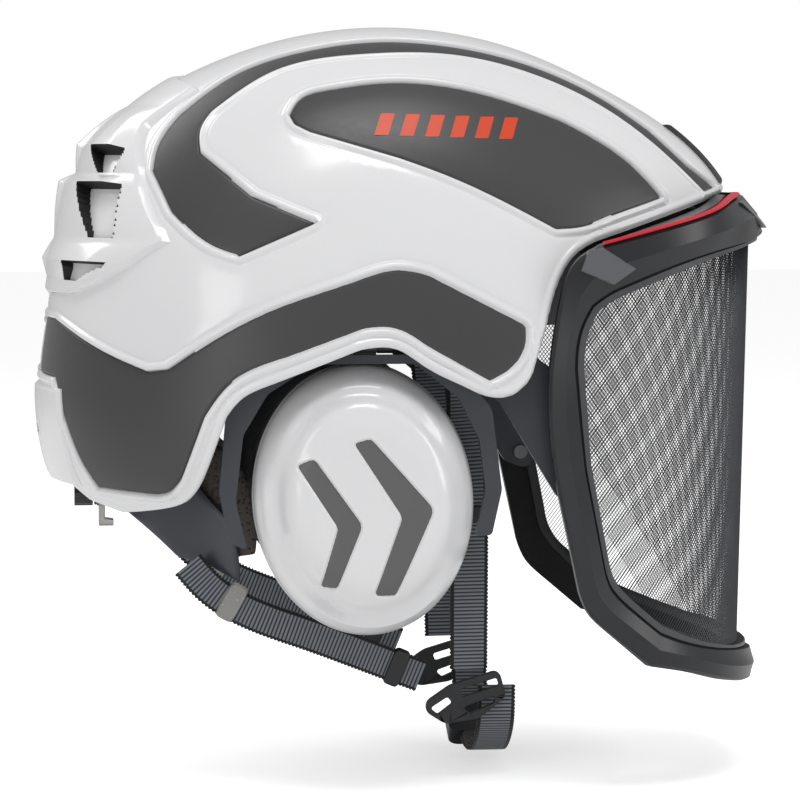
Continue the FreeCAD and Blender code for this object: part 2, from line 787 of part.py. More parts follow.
def make_ear_carriage():
    """Plate that slides in the bracket's slot and carries the hinge of the yoke."""
    carriage = new_body("ear_carriage_right")
    low = HINGE_Z + 1.8
    notch = HINGE_Z + 3.8
    plate = rounded_loop([(-11, low), (-5.1, low), (-5.1, notch), (5.1, notch), (5.1, low),
                          (11, low), (11, 96), (-11, 96)], [0, 0, 0, 0, 0, 0, 3, 3])
    pad(carriage, "side", [plate], "Sizes.carrier_wall", "Sizes.carrier_inner_face + 0.4")
    pad(carriage, "side", [circle_loop(0, 86, 2.6)], "4.2", "Sizes.carrier_inner_face + 4")
    pad(carriage, "side", [circle_loop(0, 86, 4.6)], "1.4", "96.0")
    for x0, length in (("-10.9", "5.8"), ("5.1", "5.8")):
        ring = circle_loop(-HINGE_Y, HINGE_Z, size("knuckle_radius"))
        hole = circle_loop(-HINGE_Y, HINGE_Z, size("ear_pin_radius") + 0.02)
        pad(carriage, "front", [ring, hole], length, x0)
    return carriage


CUP_TILT = 6.0


def cup_point(u, v):
    """A point of the cup's own upright frame, leaned back with the cup."""
    lean = math.radians(CUP_TILT)
    return (u * math.cos(lean) - v * math.sin(lean), u * math.sin(lean) + v * math.cos(lean))


def leaned_ellipse(u, v, half_u, half_v):
    centre = Vector(*cup_point(u, v), 0)
    end_v = Vector(*cup_point(u, v + half_v), 0)
    end_u = Vector(*cup_point(u - half_u, v), 0)
    return [Part.Ellipse(end_v, end_u, centre)]


def make_ear_yoke():
    """Forked carrier: a central knuckle, an arch over the cup and two arms down its sides."""
    yoke = new_body("ear_yoke_right")
    arch = rounded_loop([(-54, 36), (-40, 48), (-18, 57.2), (18, 57.2), (38, 50), (50, 36),
                         (54, 4), (50, -14), (43.5, -14), (47.5, 4), (45, 24), (37, 40),
                         (20, 53.6), (-20, 53.6), (-38, 42), (-47.5, 26), (-50.5, 0),
                         (-46, -19), (-53, -16), (-57, 4)],
                        [10, 10, 8, 8, 10, 10, 8, 2, 1, 6, 8, 8, 8, 8, 8, 8, 8, 1, 2, 8])
    pad(yoke, "side", [arch], "3.0", "91.0")
    pad(yoke, "side", [box_loop(-4.6, 55.0, 4.6, HINGE_Z - 1.8)], "3.0", "Sizes.ear_hinge_y - 1.5")
    ring = circle_loop(-HINGE_Y, HINGE_Z, size("knuckle_radius"))
    hole = circle_loop(-HINGE_Y, HINGE_Z, size("ear_pin_radius") + 0.03)
    pad(yoke, "front", [ring, hole], "9.6", "-4.8")
    socket = circle_loop(-size("cup_pivot_y"), size("cup_pivot_z"),
                         size("cup_trunnion_radius") + 0.02)
    pocket(yoke, "front", [socket], "120", "-60")
    return yoke


def make_ear_pin():
    pin = doc.addObject("Part::Cylinder", "ear_pin_right")
    pin.setExpression("Radius", "Sizes.ear_pin_radius")
    pin.Height = 21.6
    pin.Placement = FreeCAD.Placement(Vector(-10.8, -HINGE_Y, HINGE_Z),
                                      FreeCAD.Rotation(Vector(0, 1, 0), 90))
    return keep(pin, "ear_pin_right")


def make_ear_cup():
    """Hollow oval cup, open towards the head, with sunk beds for the two chevrons."""
    cup = new_body("ear_cup_right")
    half_w = size("cup_half_width")
    half_h = size("cup_half_height")
    stations = [(80.0, 0.0), (86.0, 0.0), (96.0, 3.6), (104.0, 9.0), (110.0, 16.0)]

    def loft_type(kind, levels):
        feature = cup.newObject(kind, "cup_loft")
        sketches = []
        for level, draw_in in levels:
            loop = leaned_ellipse(0, 0, half_w - draw_in, half_h - draw_in)
            sketches.append(new_sketch(cup, "side", [loop], "%g" % level))
        feature.Profile = sketches[0]
        feature.Sections = sketches[1:]
        feature.Ruled = True
        return feature

    loft_type("PartDesign::AdditiveLoft", stations)
    wall = size("cup_wall")
    hollow = [(79.0, wall + 4.0), (86.0, wall + 4.0), (96.0, 3.6 + wall + 2.5),
              (104.0, 9.0 + wall + 2.5), (107.0, 18.0)]
    loft_type("PartDesign::SubtractiveLoft", hollow)
    for loop in chevron_loops(0.0):
        pocket(cup, "side", [loop], "Sizes.chevron_depth + 1", "Sizes.cup_top - Sizes.chevron_depth")
    trunnion = circle_loop(-size("cup_pivot_y"), size("cup_pivot_z"), size("cup_trunnion_radius"))
    pad(cup, "front", [trunnion], "13.5", "38.0")
    pad(cup, "front", [trunnion], "15.5", "-53.5")
    return cup


CHEVRONS = [
    [(-6, 24), (1, 26), (26, -2), (11, -36), (2, -36), (13, -5)],
    [(-28, 15.5), (-21, 18.5), (-2, -8), (-12, -33), (-19, -33), (-12, -9)],
]
CHEVRON_RADII = [1.5, 3, 5, 2, 2, 4]


def chevron_loops(gap):
    """The two bent bars; the gap draws them in for the inlays."""
    loops = []
    for points in CHEVRONS:
        wire = Part.makePolygon([Vector(x, z, 0) for x, z in points + points[:1]])
        if gap:
            wire = wire.makeOffset2D(-gap, 2)
        corners = [(p.Point.x, p.Point.y) for p in wire.OrderedVertexes]
        loops.append(rounded_loop(corners, CHEVRON_RADII))
    return loops


def make_chevrons():
    inlay = []
    for loop in chevron_loops(GAP):
        wire = Part.Wire(Part.sortEdges([curve.toShape() for curve in loop])[0])
        face = Part.Face(wire)
        face.rotate(Vector(0, 0, 0), Vector(1, 0, 0), 90)
        face.translate(Vector(0, -(size("cup_top") - size("chevron_depth") + 0.05), 0))
        inlay.append(face.extrude(Vector(0, -(size("chevron_depth") - 0.25), 0)))
    return freeform("ear_chevrons_right", Part.makeCompound(inlay))


def make_ear_insides():
    half_w = size("cup_half_width")
    half_h = size("cup_half_height")
    plate = new_body("ear_back_plate_right")
    pad(plate, "side", [leaned_ellipse(0, 0, half_w - 0.5, half_h - 0.5),
                        leaned_ellipse(0, 0, 24, 34)], "1.8", "78.1")
    cushion = new_body("ear_cushion_right")
    pad(cushion, "side", [leaned_ellipse(-3, 1, half_w - 2, half_h - 3),
                          leaned_ellipse(-3, 1, 22, 31)], "12.0", "66.0")
    foam = new_body("ear_foam_right")
    pad(foam, "side", [leaned_ellipse(0, 0, 33, 43)], "8.0", "80.5")
    return plate, cushion, foam


bracket = make_ear_bracket()
twins(bracket, "ear_brackets")
carriage = make_ear_carriage()
mirrored(carriage, "ear_carriage_left")
yoke = make_ear_yoke()
mirrored(yoke, "ear_yoke_left")
ear_pin = make_ear_pin()
mirrored(ear_pin, "ear_pin_left")
cup = make_ear_cup()
mirrored(cup, "ear_cup_left")
chevrons = make_chevrons()
mirrored(chevrons, "ear_chevrons_left")
for piece in make_ear_insides():
    mirrored(piece, piece.Label.replace("right", "left"))

# ---------------------------------------------------------------- webbing and its fittings


def webbing(label, path, width, wall):
    """Flat strap that faces sideways: centre-line points, swept width in the side view."""
    upper = []
    lower = []
    for i, (x, y, z) in enumerate(path):
        before = path[max(i - 1, 0)]
        after = path[min(i + 1, len(path) - 1)]
        run = Vector(after[0] - before[0], 0, after[2] - before[2]).normalize()
        side = Vector(-run.z, 0, run.x) * (width / 2)
        upper.append(Vector(x, y, z) + side)
        lower.append(Vector(x, y, z) - side)
    edges = []
    for points in (upper, lower):
        curve = Part.BSplineCurve()
        curve.interpolate(points)
        edges.append(curve.toShape())
    return freeform(label, Part.makeRuledSurface(*edges).extrude(Vector(0, wall, 0)))


WEB = size("webbing_width")
WEB_WALL = size("webbing_wall")

front_strap = webbing("front_strap_right", [(41.5, -77, 66), (42, -73, 46), (43, -65, 26),
                      (44.5, -62, 0), (45.5, -56, -38), (46, -50, -74)], WEB, WEB_WALL)
mirrored(front_strap, "front_strap_left")
rear_strap = webbing("rear_strap_right", [(-68, -60.5, -28), (-60, -61.5, -37), (-44, -60.5, -47.5),
                     (-20, -58, -57), (5, -54, -67), (27, -49.5, -76)], WEB - 2, WEB_WALL)
mirrored(rear_strap, "rear_strap_left")


def make_slider():
    """Leaf-shaped divider that joins the front and rear straps to the chin strap."""
    slider = new_body("strap_slider_right")
    leaf = rounded_loop([(25, -88), (38, -79), (58, -73), (61, -84), (50, -93), (36, -95)],
                        [4, 12, 3, 3, 8, 6])
    front_slot = rounded_loop([(42, -81), (57, -76.5), (58, -79.5), (43, -84)], 1)
    rear_slot = rounded_loop([(30, -88.5), (37, -84), (39, -86.5), (33, -91)], 1)
    chin_slot = rounded_loop([(43, -88.5), (57, -83.5), (56, -86.5), (46, -91)], 1)
    pad(slider, "side", [leaf, front_slot, rear_slot, chin_slot], "2.6", "50.6")
    return slider


mirrored(make_slider(), "strap_slider_left")


def make_anchor():
    """Clip inside the shell that the front strap is riveted to."""
    anchor = new_body("strap_anchor")
    pad(anchor, "side", [box_loop(33, 54, 50, 72, 3)], "2.0", "71.4")
    return anchor


twins(make_anchor(), "strap_anchors")


def chin_loop(depth, inset, x0, x1):
    """Strap that hangs from slider to slider under the chin, as a U across the head."""
    faces = []
    for inward in (inset, inset + depth):
        half = 49.5 - inward
        points = [(-half, -80), (-half + 2, -92), (-34 + inward * 0.6, -105 + inward * 0.8),
                  (-18, -111.5 + inward), (0, -113.5 + inward)]
        points += [(-y, z) for y, z in reversed(points[:-1])]
        curve = Part.BSplineCurve()
        curve.interpolate([Vector(x0, y, z) for y, z in points])
        faces.append(curve.toShape())
    ends = [Part.makeLine(faces[0].valueAt(p0), faces[1].valueAt(p1))
            for p0, p1 in zip((faces[0].FirstParameter, faces[0].LastParameter),
                              (faces[1].FirstParameter, faces[1].LastParameter))]
    wire = Part.Wire([faces[0], ends[1], faces[1], ends[0]])
    return Part.Face(wire).extrude(Vector(x1 - x0, 0, 0))


BUCKLE_PLACE = FreeCAD.Placement(Vector(50 + WEB / 2, 26.0, -107.8),
                                 FreeCAD.Rotation(Vector(1, 0, 0), 22))


def buckle_space(gap):
    """Room the buckle takes on the chin strap."""
    half = size("buckle_width") / 2
    room = slab(-half - gap, half + gap, -11 - gap, 11 + gap, -3.4 - gap, 3.4 + gap)
    room.Placement = BUCKLE_PLACE
    return room


def make_buckle():
    """Chin buckle with a round release button on its outer face."""
    half = size("buckle_width") / 2
    case = new_body("buckle_body")
    pad(case, "top", [box_loop(-half, -11, half, 11, 4)], "6.8", "-3.4")
    pocket(case, "top", [circle_loop(0, 0, 5.05)], "3.4", "-3.5")
    case.Placement = BUCKLE_PLACE
    button = new_body("buckle_button")
    pad(button, "top", [circle_loop(0, 0, 5.0)], "2.4", "-3.9")
    button.Placement = BUCKLE_PLACE


make_buckle()
freeform("chin_strap", chin_loop(WEB_WALL, 0.0, 50, 50 + WEB).cut(buckle_space(GAP)))
freeform("chin_pad", chin_loop(3.5, WEB_WALL + GAP, 48.5, 66.5).common(slab(40, 80, -30, 11, -120, -95)))

# ---------------------------------------------------------------- checks and export

doc.recompute()
bad = [o.Name for o in doc.Objects if "Invalid" in o.State or "Error" in o.State]
for node in nodes:
    if node.Shape.isNull() or not node.Shape.isValid() or not node.Shape.Solids:
        bad.append(node.Label)
if bad:
    raise RuntimeError("failed objects: %s" % ", ".join(bad))
for node in nodes:
    node.Shape.exportStep("parts/%s.step" % node.Label)
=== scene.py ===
"""Looks of a forestry helmet with mesh visor and ear-muffs, built around its CAD frame."""
import json
import math

import bpy
import numpy as np
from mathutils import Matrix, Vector, kdtree
from mathutils.geometry import delaunay_2d_cdt


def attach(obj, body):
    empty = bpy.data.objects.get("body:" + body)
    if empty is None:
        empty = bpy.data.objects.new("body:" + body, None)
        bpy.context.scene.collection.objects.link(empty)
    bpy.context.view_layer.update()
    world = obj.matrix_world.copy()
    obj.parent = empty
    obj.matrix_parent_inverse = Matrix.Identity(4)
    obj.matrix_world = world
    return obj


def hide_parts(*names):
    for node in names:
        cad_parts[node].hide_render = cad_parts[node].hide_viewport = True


MM = 0.001
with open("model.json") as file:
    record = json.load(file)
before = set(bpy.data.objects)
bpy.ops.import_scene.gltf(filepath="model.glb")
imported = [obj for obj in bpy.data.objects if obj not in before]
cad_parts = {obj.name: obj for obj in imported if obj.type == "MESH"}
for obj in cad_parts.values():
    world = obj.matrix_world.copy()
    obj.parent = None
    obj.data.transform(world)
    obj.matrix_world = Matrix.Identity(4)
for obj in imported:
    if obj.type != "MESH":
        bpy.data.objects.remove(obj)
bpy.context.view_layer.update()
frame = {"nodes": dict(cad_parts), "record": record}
NODES = frame["nodes"]


# ---------------------------------------------------------------- materials


def linear(rgb):
    """Linear colour of an 8-bit display colour."""
    share = [c / 255 for c in rgb]
    return [c / 12.92 if c < 0.04045 else ((c + 0.055) / 1.055) ** 2.4 for c in share] + [1.0]


def node(tree, kind, **values):
    made = tree.nodes.new(kind)
    for key, value in values.items():
        if key in made.inputs:
            made.inputs[key].default_value = value
        else:
            setattr(made, key, value)
    return made


def material(name, rgb, rough, other=None, scale=900.0, bump=0.02, metallic=0.0, coat=0.0,
             rough_spread=0.06, detail=3.0):
    """Surface whose colour, roughness and relief all vary with procedural noise."""
    made = bpy.data.materials.new(name)
    made.use_nodes = True
    tree = made.node_tree
    shader = tree.nodes["Principled BSDF"]
    shader.inputs["Metallic"].default_value = metallic
    shader.inputs["Coat Weight"].default_value = coat
    shader.inputs["Coat Roughness"].default_value = 0.12
    place = node(tree, "ShaderNodeTexCoord")
    grain = node(tree, "ShaderNodeTexNoise", Scale=scale, Detail=detail)
    cloud = node(tree, "ShaderNodeTexNoise", Scale=scale / 22, Detail=2.0)
    for texture in (grain, cloud):
        tree.links.new(place.outputs["Object"], texture.inputs["Vector"])
    tone = node(tree, "ShaderNodeMix", data_type="RGBA")
    tone.inputs[6].default_value = linear(rgb)
    tone.inputs[7].default_value = linear(other or [min(255, c + 9) for c in rgb])
    tree.links.new(cloud.outputs["Fac"], tone.inputs[0])
    tree.links.new(tone.outputs[2], shader.inputs["Base Color"])
    spread = node(tree, "ShaderNodeMapRange")
    spread.inputs["To Min"].default_value = rough - rough_spread
    spread.inputs["To Max"].default_value = rough + rough_spread
    tree.links.new(grain.outputs["Fac"], spread.inputs["Value"])
    tree.links.new(spread.outputs["Result"], shader.inputs["Roughness"])
    relief = node(tree, "ShaderNodeBump", Strength=bump, Distance=0.0004)
    tree.links.new(grain.outputs["Fac"], relief.inputs["Height"])
    tree.links.new(relief.outputs["Normal"], shader.inputs["Normal"])
    return made


def speckled(name, rgb, dots, rough, scale, bump):
    """Soft material with cells of a second colour, for perforated pads and foam."""
    made = material(name, rgb, rough, scale=scale, bump=bump)
    tree = made.node_tree
    shader = tree.nodes["Principled BSDF"]
    place = tree.nodes["Texture Coordinate"]
    cells = node(tree, "ShaderNodeTexVoronoi", Scale=scale)
    tree.links.new(place.outputs["Object"], cells.inputs["Vector"])
    ramp = node(tree, "ShaderNodeValToRGB")
    ramp.color_ramp.elements[0].position = 0.22
    ramp.color_ramp.elements[0].color = linear(dots)
    ramp.color_ramp.elements[1].position = 0.42
    ramp.color_ramp.elements[1].color = linear(rgb)
    tree.links.new(cells.outputs["Distance"], ramp.inputs["Fac"])
    tree.links.new(ramp.outputs["Color"], shader.inputs["Base Color"])
    relief = node(tree, "ShaderNodeBump", Strength=bump, Distance=0.0006)
    tree.links.new(cells.outputs["Distance"], relief.inputs["Height"])
    tree.links.new(relief.outputs["Normal"], shader.inputs["Normal"])
    return made


def ribbed(name, crest, valley_shade, edge):
    """Woven strap: the mesh carries how high each rib stands and where the selvedge is; the valleys
    between ribs get a darker colour, painted shade.
    """
    made = material(name, crest, 0.72, scale=2400.0, bump=0.25)
    tree = made.node_tree
    shader = tree.nodes["Principled BSDF"]
    rib = node(tree, "ShaderNodeAttribute", attribute_name="rib")
    selvedge = node(tree, "ShaderNodeAttribute", attribute_name="selvedge")
    # Painted shade: the valley colour darkens the strap between its ribs.
    rib_shading = node(tree, "ShaderNodeMix", data_type="RGBA")
    rib_shading.inputs[6].default_value = linear(valley_shade)
    tree.links.new(tree.nodes["Mix"].outputs[2], rib_shading.inputs[7])
    tree.links.new(rib.outputs["Fac"], rib_shading.inputs[0])
    bound = node(tree, "ShaderNodeMix", data_type="RGBA")
    bound.inputs[7].default_value = linear(edge)
    tree.links.new(rib_shading.outputs[2], bound.inputs[6])
    tree.links.new(selvedge.outputs["Fac"], bound.inputs[0])
    tree.links.new(bound.outputs[2], shader.inputs["Base Color"])
    shader.inputs["Sheen Weight"].default_value = 0.25
    return made


WHITE = material("white_shell_finish", (232, 232, 233), 0.2, other=(226, 226, 228), scale=260.0,
                 bump=0.012, coat=0.35, rough_spread=0.03)
PANEL = material("dark_panel_finish", (62, 62, 63), 0.4, other=(66, 66, 67), scale=500.0,
                 bump=0.03)
INLAY = material("grey_inlay_finish", (92, 92, 92), 0.42, other=(98, 98, 98), scale=700.0,
                 bump=0.03)
BLACK = material("black_plastic_finish", (34, 35, 38), 0.4, other=(42, 43, 46), scale=1300.0,
                 bump=0.12)
SLATE = material("slate_plastic_finish", (58, 61, 67), 0.33, other=(66, 69, 75), scale=1100.0,
                 bump=0.06)
# Near black for the sunk vent mouths and holes and for the visor frame's groove, inner wall and
# back: painted shade.
SHADOW_PAINT = material("vent_shadow", (15, 15, 16), 0.7, other=(22, 22, 23), scale=900.0, bump=0.1)
FRAME = material("visor_frame_finish", (32, 33, 36), 0.32, other=(38, 39, 42), scale=1100.0,
                 bump=0.07)
# Lighter grey for the visor's corner plate and front strip: painted highlight where these facets
# face the light.
FACET_HIGHLIGHT = material("visor_facet_painted_highlight", (92, 93, 97), 0.3, other=(100, 101, 105), scale=900.0,
                 bump=0.04)
LIP = material("visor_lip_finish", (70, 71, 74), 0.4, other=(78, 79, 82), scale=900.0,
               bump=0.05)
RED = material("red_seal_finish", (196, 26, 44), 0.4, other=(206, 34, 52), scale=900.0, bump=0.03)
ORANGE = material("orange_mark_finish", (208, 62, 14), 0.42, other=(216, 70, 20), scale=900.0,
                  bump=0.02)
STEEL = material("steel_finish", (120, 121, 124), 0.34, other=(134, 135, 138), scale=1500.0,
                 bump=0.06, metallic=0.9)
WIRE = material("mesh_wire_finish", (66, 67, 70), 0.42, other=(82, 83, 86), scale=1200.0,
                bump=0.05, metallic=0.6)
RUBBER = material("rubber_finish", (24, 24, 26), 0.6, other=(30, 30, 32), scale=900.0, bump=0.1)
LEATHER = material("cushion_finish", (16, 17, 19), 0.34, other=(22, 23, 25), scale=1700.0,
                   bump=0.35)
CLEAR = material("clear_clip_finish", (200, 198, 192), 0.25, other=(214, 212, 206), scale=900.0,
                 bump=0.05)
CLEAR.node_tree.nodes["Principled BSDF"].inputs["Transmission Weight"].default_value = 0.55
BUTTON = material("button_finish", (88, 90, 94), 0.45, other=(98, 100, 104), scale=900.0,
                  bump=0.04)
FABRIC = speckled("pad_fabric_finish", (78, 72, 68), (34, 32, 31), 0.85, 620.0, 0.5)
FOAM = speckled("foam_finish", (52, 53, 56), (20, 20, 22), 0.9, 900.0, 0.6)
WEAVE = speckled("cradle_weave", (58, 60, 64), (22, 22, 24), 0.8, 1500.0, 0.4)
# Grey webbing with black selvedge; the dark second colour is painted shade in the valleys between
# ribs.
WEBBING = ribbed("webbing_and_rib_shade", (124, 129, 137), (40, 42, 46), (12, 12, 13))

# ---------------------------------------------------------------- mesh helpers


def piece(name, points, faces, looks, body, stands_for=(), angle=32.0, shades=None):
    """Piece of the object from points in mm: looks is one material or a list of them."""
    mesh = bpy.data.meshes.new(name)
    mesh.from_pydata((np.asarray(points, float) * MM).tolist(), [], [list(f) for f in faces])
    looks = looks if isinstance(looks, list) else [looks]
    for look in looks:
        mesh.materials.append(look)
    if shades is not None:
        mesh.polygons.foreach_set("material_index", np.asarray(shades, np.int32))
    mesh.polygons.foreach_set("use_smooth", np.ones(len(mesh.polygons), bool))
    mesh.validate()
    mesh.set_sharp_from_angle(angle=math.radians(angle))
    made = bpy.data.objects.new(name, mesh)
    bpy.context.scene.collection.objects.link(made)
    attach(made, body)
    if stands_for:
        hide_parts(*stands_for)
    return made


def mirror_y(points, faces, shades=None, keep=True):
    """The other side's copy, joined to the first along the middle plane if both are kept."""
    points = np.asarray(points, float)
    other = points * [1, -1, 1]
    flipped = [list(reversed(face)) for face in faces]
    if not keep:
        return other, flipped
    near = np.abs(points[:, 1]) < 0.02
    points = points.copy()
    points[near, 1] = 0.0
    index = np.where(near, np.arange(len(points)), 0)
    index[~near] = len(points) + np.arange((~near).sum())
    both = faces + [[int(index[i]) for i in face] for face in flipped]
    merged = np.vstack([points, other[~near]])
    if shades is None:
        return merged, both
    return merged, both, list(shades) + list(shades)


def close_back(points, back, faces):
    """Solid between a sheet and its moved copy, with a wall round every open edge."""
    points = np.asarray(points, float)
    back = np.asarray(back, float)
    count = len(points)
    seen = {}
    for face in faces:
        for a, b in zip(face, face[1:] + face[:1]):
            seen[(a, b)] = True
    walls = [[b, a, a + count, b + count] for a, b in seen if (b, a) not in seen]
    rear = [[i + count for i in reversed(face)] for face in faces]
    return np.vstack([points, back]), faces + rear + walls


def grid_faces(rows, columns, wrap_rows=False, wrap_columns=False):
    faces = []
    for i in range(rows if wrap_rows else rows - 1):
        for j in range(columns if wrap_columns else columns - 1):
            k = (i + 1) % rows
            m = (j + 1) % columns
            faces.append([i * columns + j, i * columns + m, k * columns + m, k * columns + j])
    return faces


def end_caps(rows, columns):
    """The two end faces of a tube made of rows of points."""
    last = (rows - 1) * columns
    return [list(range(columns)), [last + j for j in reversed(range(columns))]]


def smooth_run(points, step):
    """Points along the natural cubic curve through a run of points."""
    points = np.asarray(points, float)
    gaps = np.linalg.norm(np.diff(points, axis=0), axis=1)
    knots = np.concatenate([[0], np.cumsum(gaps)])
    count = len(points)
    if count == 2:
        shares = np.linspace(0, 1, max(2, int(gaps[0] / step) + 1))[:, None]
        return points[0] + (points[1] - points[0]) * shares
    matrix = np.eye(count)
    drive = np.zeros((count, points.shape[1]))
    for i in range(1, count - 1):
        matrix[i, i - 1:i + 2] = [gaps[i - 1], 2 * (gaps[i - 1] + gaps[i]), gaps[i]]
        drive[i] = 6 * ((points[i + 1] - points[i]) / gaps[i]
                        - (points[i] - points[i - 1]) / gaps[i - 1])
    bend = np.linalg.solve(matrix, drive)
    where = np.linspace(0, knots[-1], max(3, int(knots[-1] / step) + 1))
    i = np.clip(np.searchsorted(knots, where, "right") - 1, 0, count - 2)
    h = gaps[i][:, None]
    a = (knots[i + 1] - where)[:, None]
    b = (where - knots[i])[:, None]
    return (bend[i] * a ** 3 / (6 * h) + bend[i + 1] * b ** 3 / (6 * h)
            + (points[i] / h - bend[i] * h / 6) * a + (points[i + 1] / h - bend[i + 1] * h / 6) * b)


def outline(start, *runs, step=0.25):
    """Closed side-view curve: one-point runs are straight, longer ones smooth."""
    here = start
    parts = []
    for run in list(runs) + [[start]]:
        parts.append(smooth_run([here] + list(run), step)[:-1])
        here = run[-1]
    return np.vstack(parts)


def resample(points, step, closed=False):
    points = np.asarray(points, float)
    if closed:
        points = np.vstack([points, points[:1]])
    gaps = np.linalg.norm(np.diff(points, axis=0), axis=1)
    along = np.concatenate([[0], np.cumsum(gaps)])
    count = max(2, int(round(along[-1] / step)) + 1)
    where = np.linspace(0, along[-1], count)
    made = np.stack([np.interp(where, along, points[:, i]) for i in range(points.shape[1])], 1)
    return made[:-1] if closed else made


def even_steps(points, count):
    """A line as that many evenly spaced points."""
    gaps = np.linalg.norm(np.diff(points, axis=0), axis=1)
    along = np.concatenate([[0], np.cumsum(gaps)])
    where = np.linspace(0, along[-1], count)
    return np.stack([np.interp(where, along, points[:, i]) for i in (0, 1)], 1)


def inside(points, polygon):
    """Which points lie in a closed polygon."""
    x, y = points[:, 0], points[:, 1]
    hits = np.zeros(len(points), bool)
    ends = np.roll(polygon, -1, axis=0)
    for (x0, y0), (x1, y1) in zip(polygon, ends):
        if y0 == y1:
            continue
        crossing = (y0 > y) != (y1 > y)
        hits ^= crossing & (x < (x1 - x0) * (y - y0) / (y1 - y0) + x0)
    return hits


def ease(value, low, high):
    share = np.clip((value - low) / (high - low), 0, 1)
    return share * share * (3 - 2 * share)


def nearest(points, targets):
    """Distance from each point to the closest target."""
    tree = kdtree.KDTree(len(targets))
    for i, target in enumerate(targets):
        tree.insert(target, i)
    tree.balance()
    return np.array([tree.find(point)[2] for point in points])


# ---------------------------------------------------------------- dome of the helmet

PROFILE = [(157, 121), (107, 162), (73, 177.5), (40, 185.5), (6, 187), (-27, 182), (-61, 170),
           (-94, 148), (-112, 121), (-120, 92), (-124, 66), (-127, 40), (-125, 16), (-118, -1),
           (-98, -15), (-50, -70), (20, -100), (110, -60), (160, 20), (168, 80)]
POLE_Z = 20.0
HALF_WIDTH = 111.0
POWER = 2.35
CHART = 140.0


def profile_table():
    polar = sorted((math.atan2(z - POLE_Z, x) % math.tau, math.hypot(x, z - POLE_Z))
                   for x, z in PROFILE)
    angles = np.array([a for a, r in polar])
    radii = np.array([r for a, r in polar])
    count = len(polar)
    gaps = (np.roll(angles, -1) - angles) % math.tau
    rises = (np.roll(radii, -1) - radii) / gaps
    matrix = np.zeros((count, count))
    drive = np.zeros(count)
    for i in range(count):
        before, after = gaps[i - 1], gaps[i]
        matrix[i, i] = 2 * (before + after)
        matrix[i, i - 1] = after
        matrix[i, (i + 1) % count] = before
        drive[i] = 3 * (after * rises[i - 1] + before * rises[i])
    return angles, radii, np.linalg.solve(matrix, drive), gaps


KNOTS, RADII, SLOPES, GAPS = profile_table()


def profile_radius(angle):
    angle = np.asarray(angle) % math.tau
    i = np.searchsorted(KNOTS, angle, "right") - 1
    i = np.where(i < 0, len(KNOTS) - 1, i)
    j = (i + 1) % len(KNOTS)
    gap = GAPS[i]
    u = ((angle - KNOTS[i]) % math.tau) / gap
    rest = 1 - u
    ends = RADII[i] * rest * rest * (1 + 2 * u) + RADII[j] * u * u * (3 - 2 * u)
    return ends + gap * u * rest * (SLOPES[i] * rest - SLOPES[j] * u)


def taper(x):
    return 1 - 0.22 * (np.maximum(0, x + 20.0) / 180.0) ** 2


class Dome:
    """Right half of the shell, charted so that it opens out flat round its pole."""

    def bare(self, flat):
        angle = np.arctan2(flat[:, 1], flat[:, 0])
        turn = np.hypot(flat[:, 0], flat[:, 1]) / CHART
        reach = profile_radius(angle) * np.sin(np.clip(turn, 0, math.pi / 2)) ** (2 / POWER)
        x = reach * np.cos(angle)
        bulge = np.maximum(np.cos(turn), 0) ** (2 / POWER)
        return np.stack([x, -HALF_WIDTH * taper(x) * bulge, reach * np.sin(angle) + POLE_Z], 1)

    def frame(self, flat):
        """Points and outward normals."""
        inner = flat * 0.9995
        points = self.bare(flat)
        step = 0.02
        spin = np.stack([-flat[:, 1], flat[:, 0]], 1)
        spin = spin / np.linalg.norm(spin, axis=1)[:, None] * step
        out = flat / np.linalg.norm(flat, axis=1)[:, None] * step
        round_way = self.bare(inner + spin) - self.bare(inner - spin)
        down_way = self.bare(inner + out) - self.bare(inner - out)
        normals = np.cross(down_way, round_way)
        normals /= np.linalg.norm(normals, axis=1)[:, None]
        turn = np.hypot(flat[:, 0], flat[:, 1]) / CHART
        crown = turn > math.pi / 2 - 1e-4
        normals[crown, 1] = 0
        normals[crown] /= np.linalg.norm(normals[crown], axis=1)[:, None]
        return points, normals

    def flat_of(self, points):
        """Chart place of points on or near the dome."""
        x, z = points[:, 0], points[:, 2] - POLE_Z
        angle = np.arctan2(z, x)
        share = np.hypot(x, z) / profile_radius(angle)
        bulge = np.abs(points[:, 1]) / (HALF_WIDTH * taper(points[:, 0]))
        turn = np.arctan2(share ** (POWER / 2), bulge ** (POWER / 2))
        return CHART * turn[:, None] * np.stack([np.cos(angle), np.sin(angle)], 1)

    def flat_side(self, side, keep_off=0.0):
        """Chart place of side-view points, held keep_off from the middle plane."""
        x, z = side[:, 0], side[:, 1] - POLE_Z
        angle = np.arctan2(z, x)
        radius = profile_radius(angle)
        turn = np.arcsin(np.minimum(1, np.hypot(x, z) / radius) ** (POWER / 2))
        edge = radius * np.cos(angle)
        limit = np.arccos((keep_off / (HALF_WIDTH * taper(edge))) ** (POWER / 2))
        turn = np.minimum(turn, limit)
        free = np.hypot(x, z) < radius * (1 - 1e-6)
        free &= turn < limit - 1e-6
        return CHART * turn[:, None] * np.stack([np.cos(angle), np.sin(angle)], 1), free


DOME = Dome()


def rows_beside(chart, line, offsets, closed=True):
    """Chart points at set distances to the left (+) and right (-) of a chart line."""
    points, normals = chart.frame(line)
    ahead = np.roll(points, -1, axis=0) - np.roll(points, 1, axis=0)
    if not closed:
        ahead[0] = points[1] - points[0]
        ahead[-1] = points[-1] - points[-2]
    ahead /= np.maximum(np.linalg.norm(ahead, axis=1), 1e-9)[:, None]
    left = np.cross(normals, ahead)
    rows = []
    for offset in offsets:
        moved = points + left * offset
        gap = nearest(moved, points)
        keep = gap > abs(offset) * 0.93 - 0.02
        keep &= moved[:, 1] < 0.0
        rows.append(chart.flat_of(moved[keep]))
    return np.vstack(rows) if rows else np.zeros((0, 2))


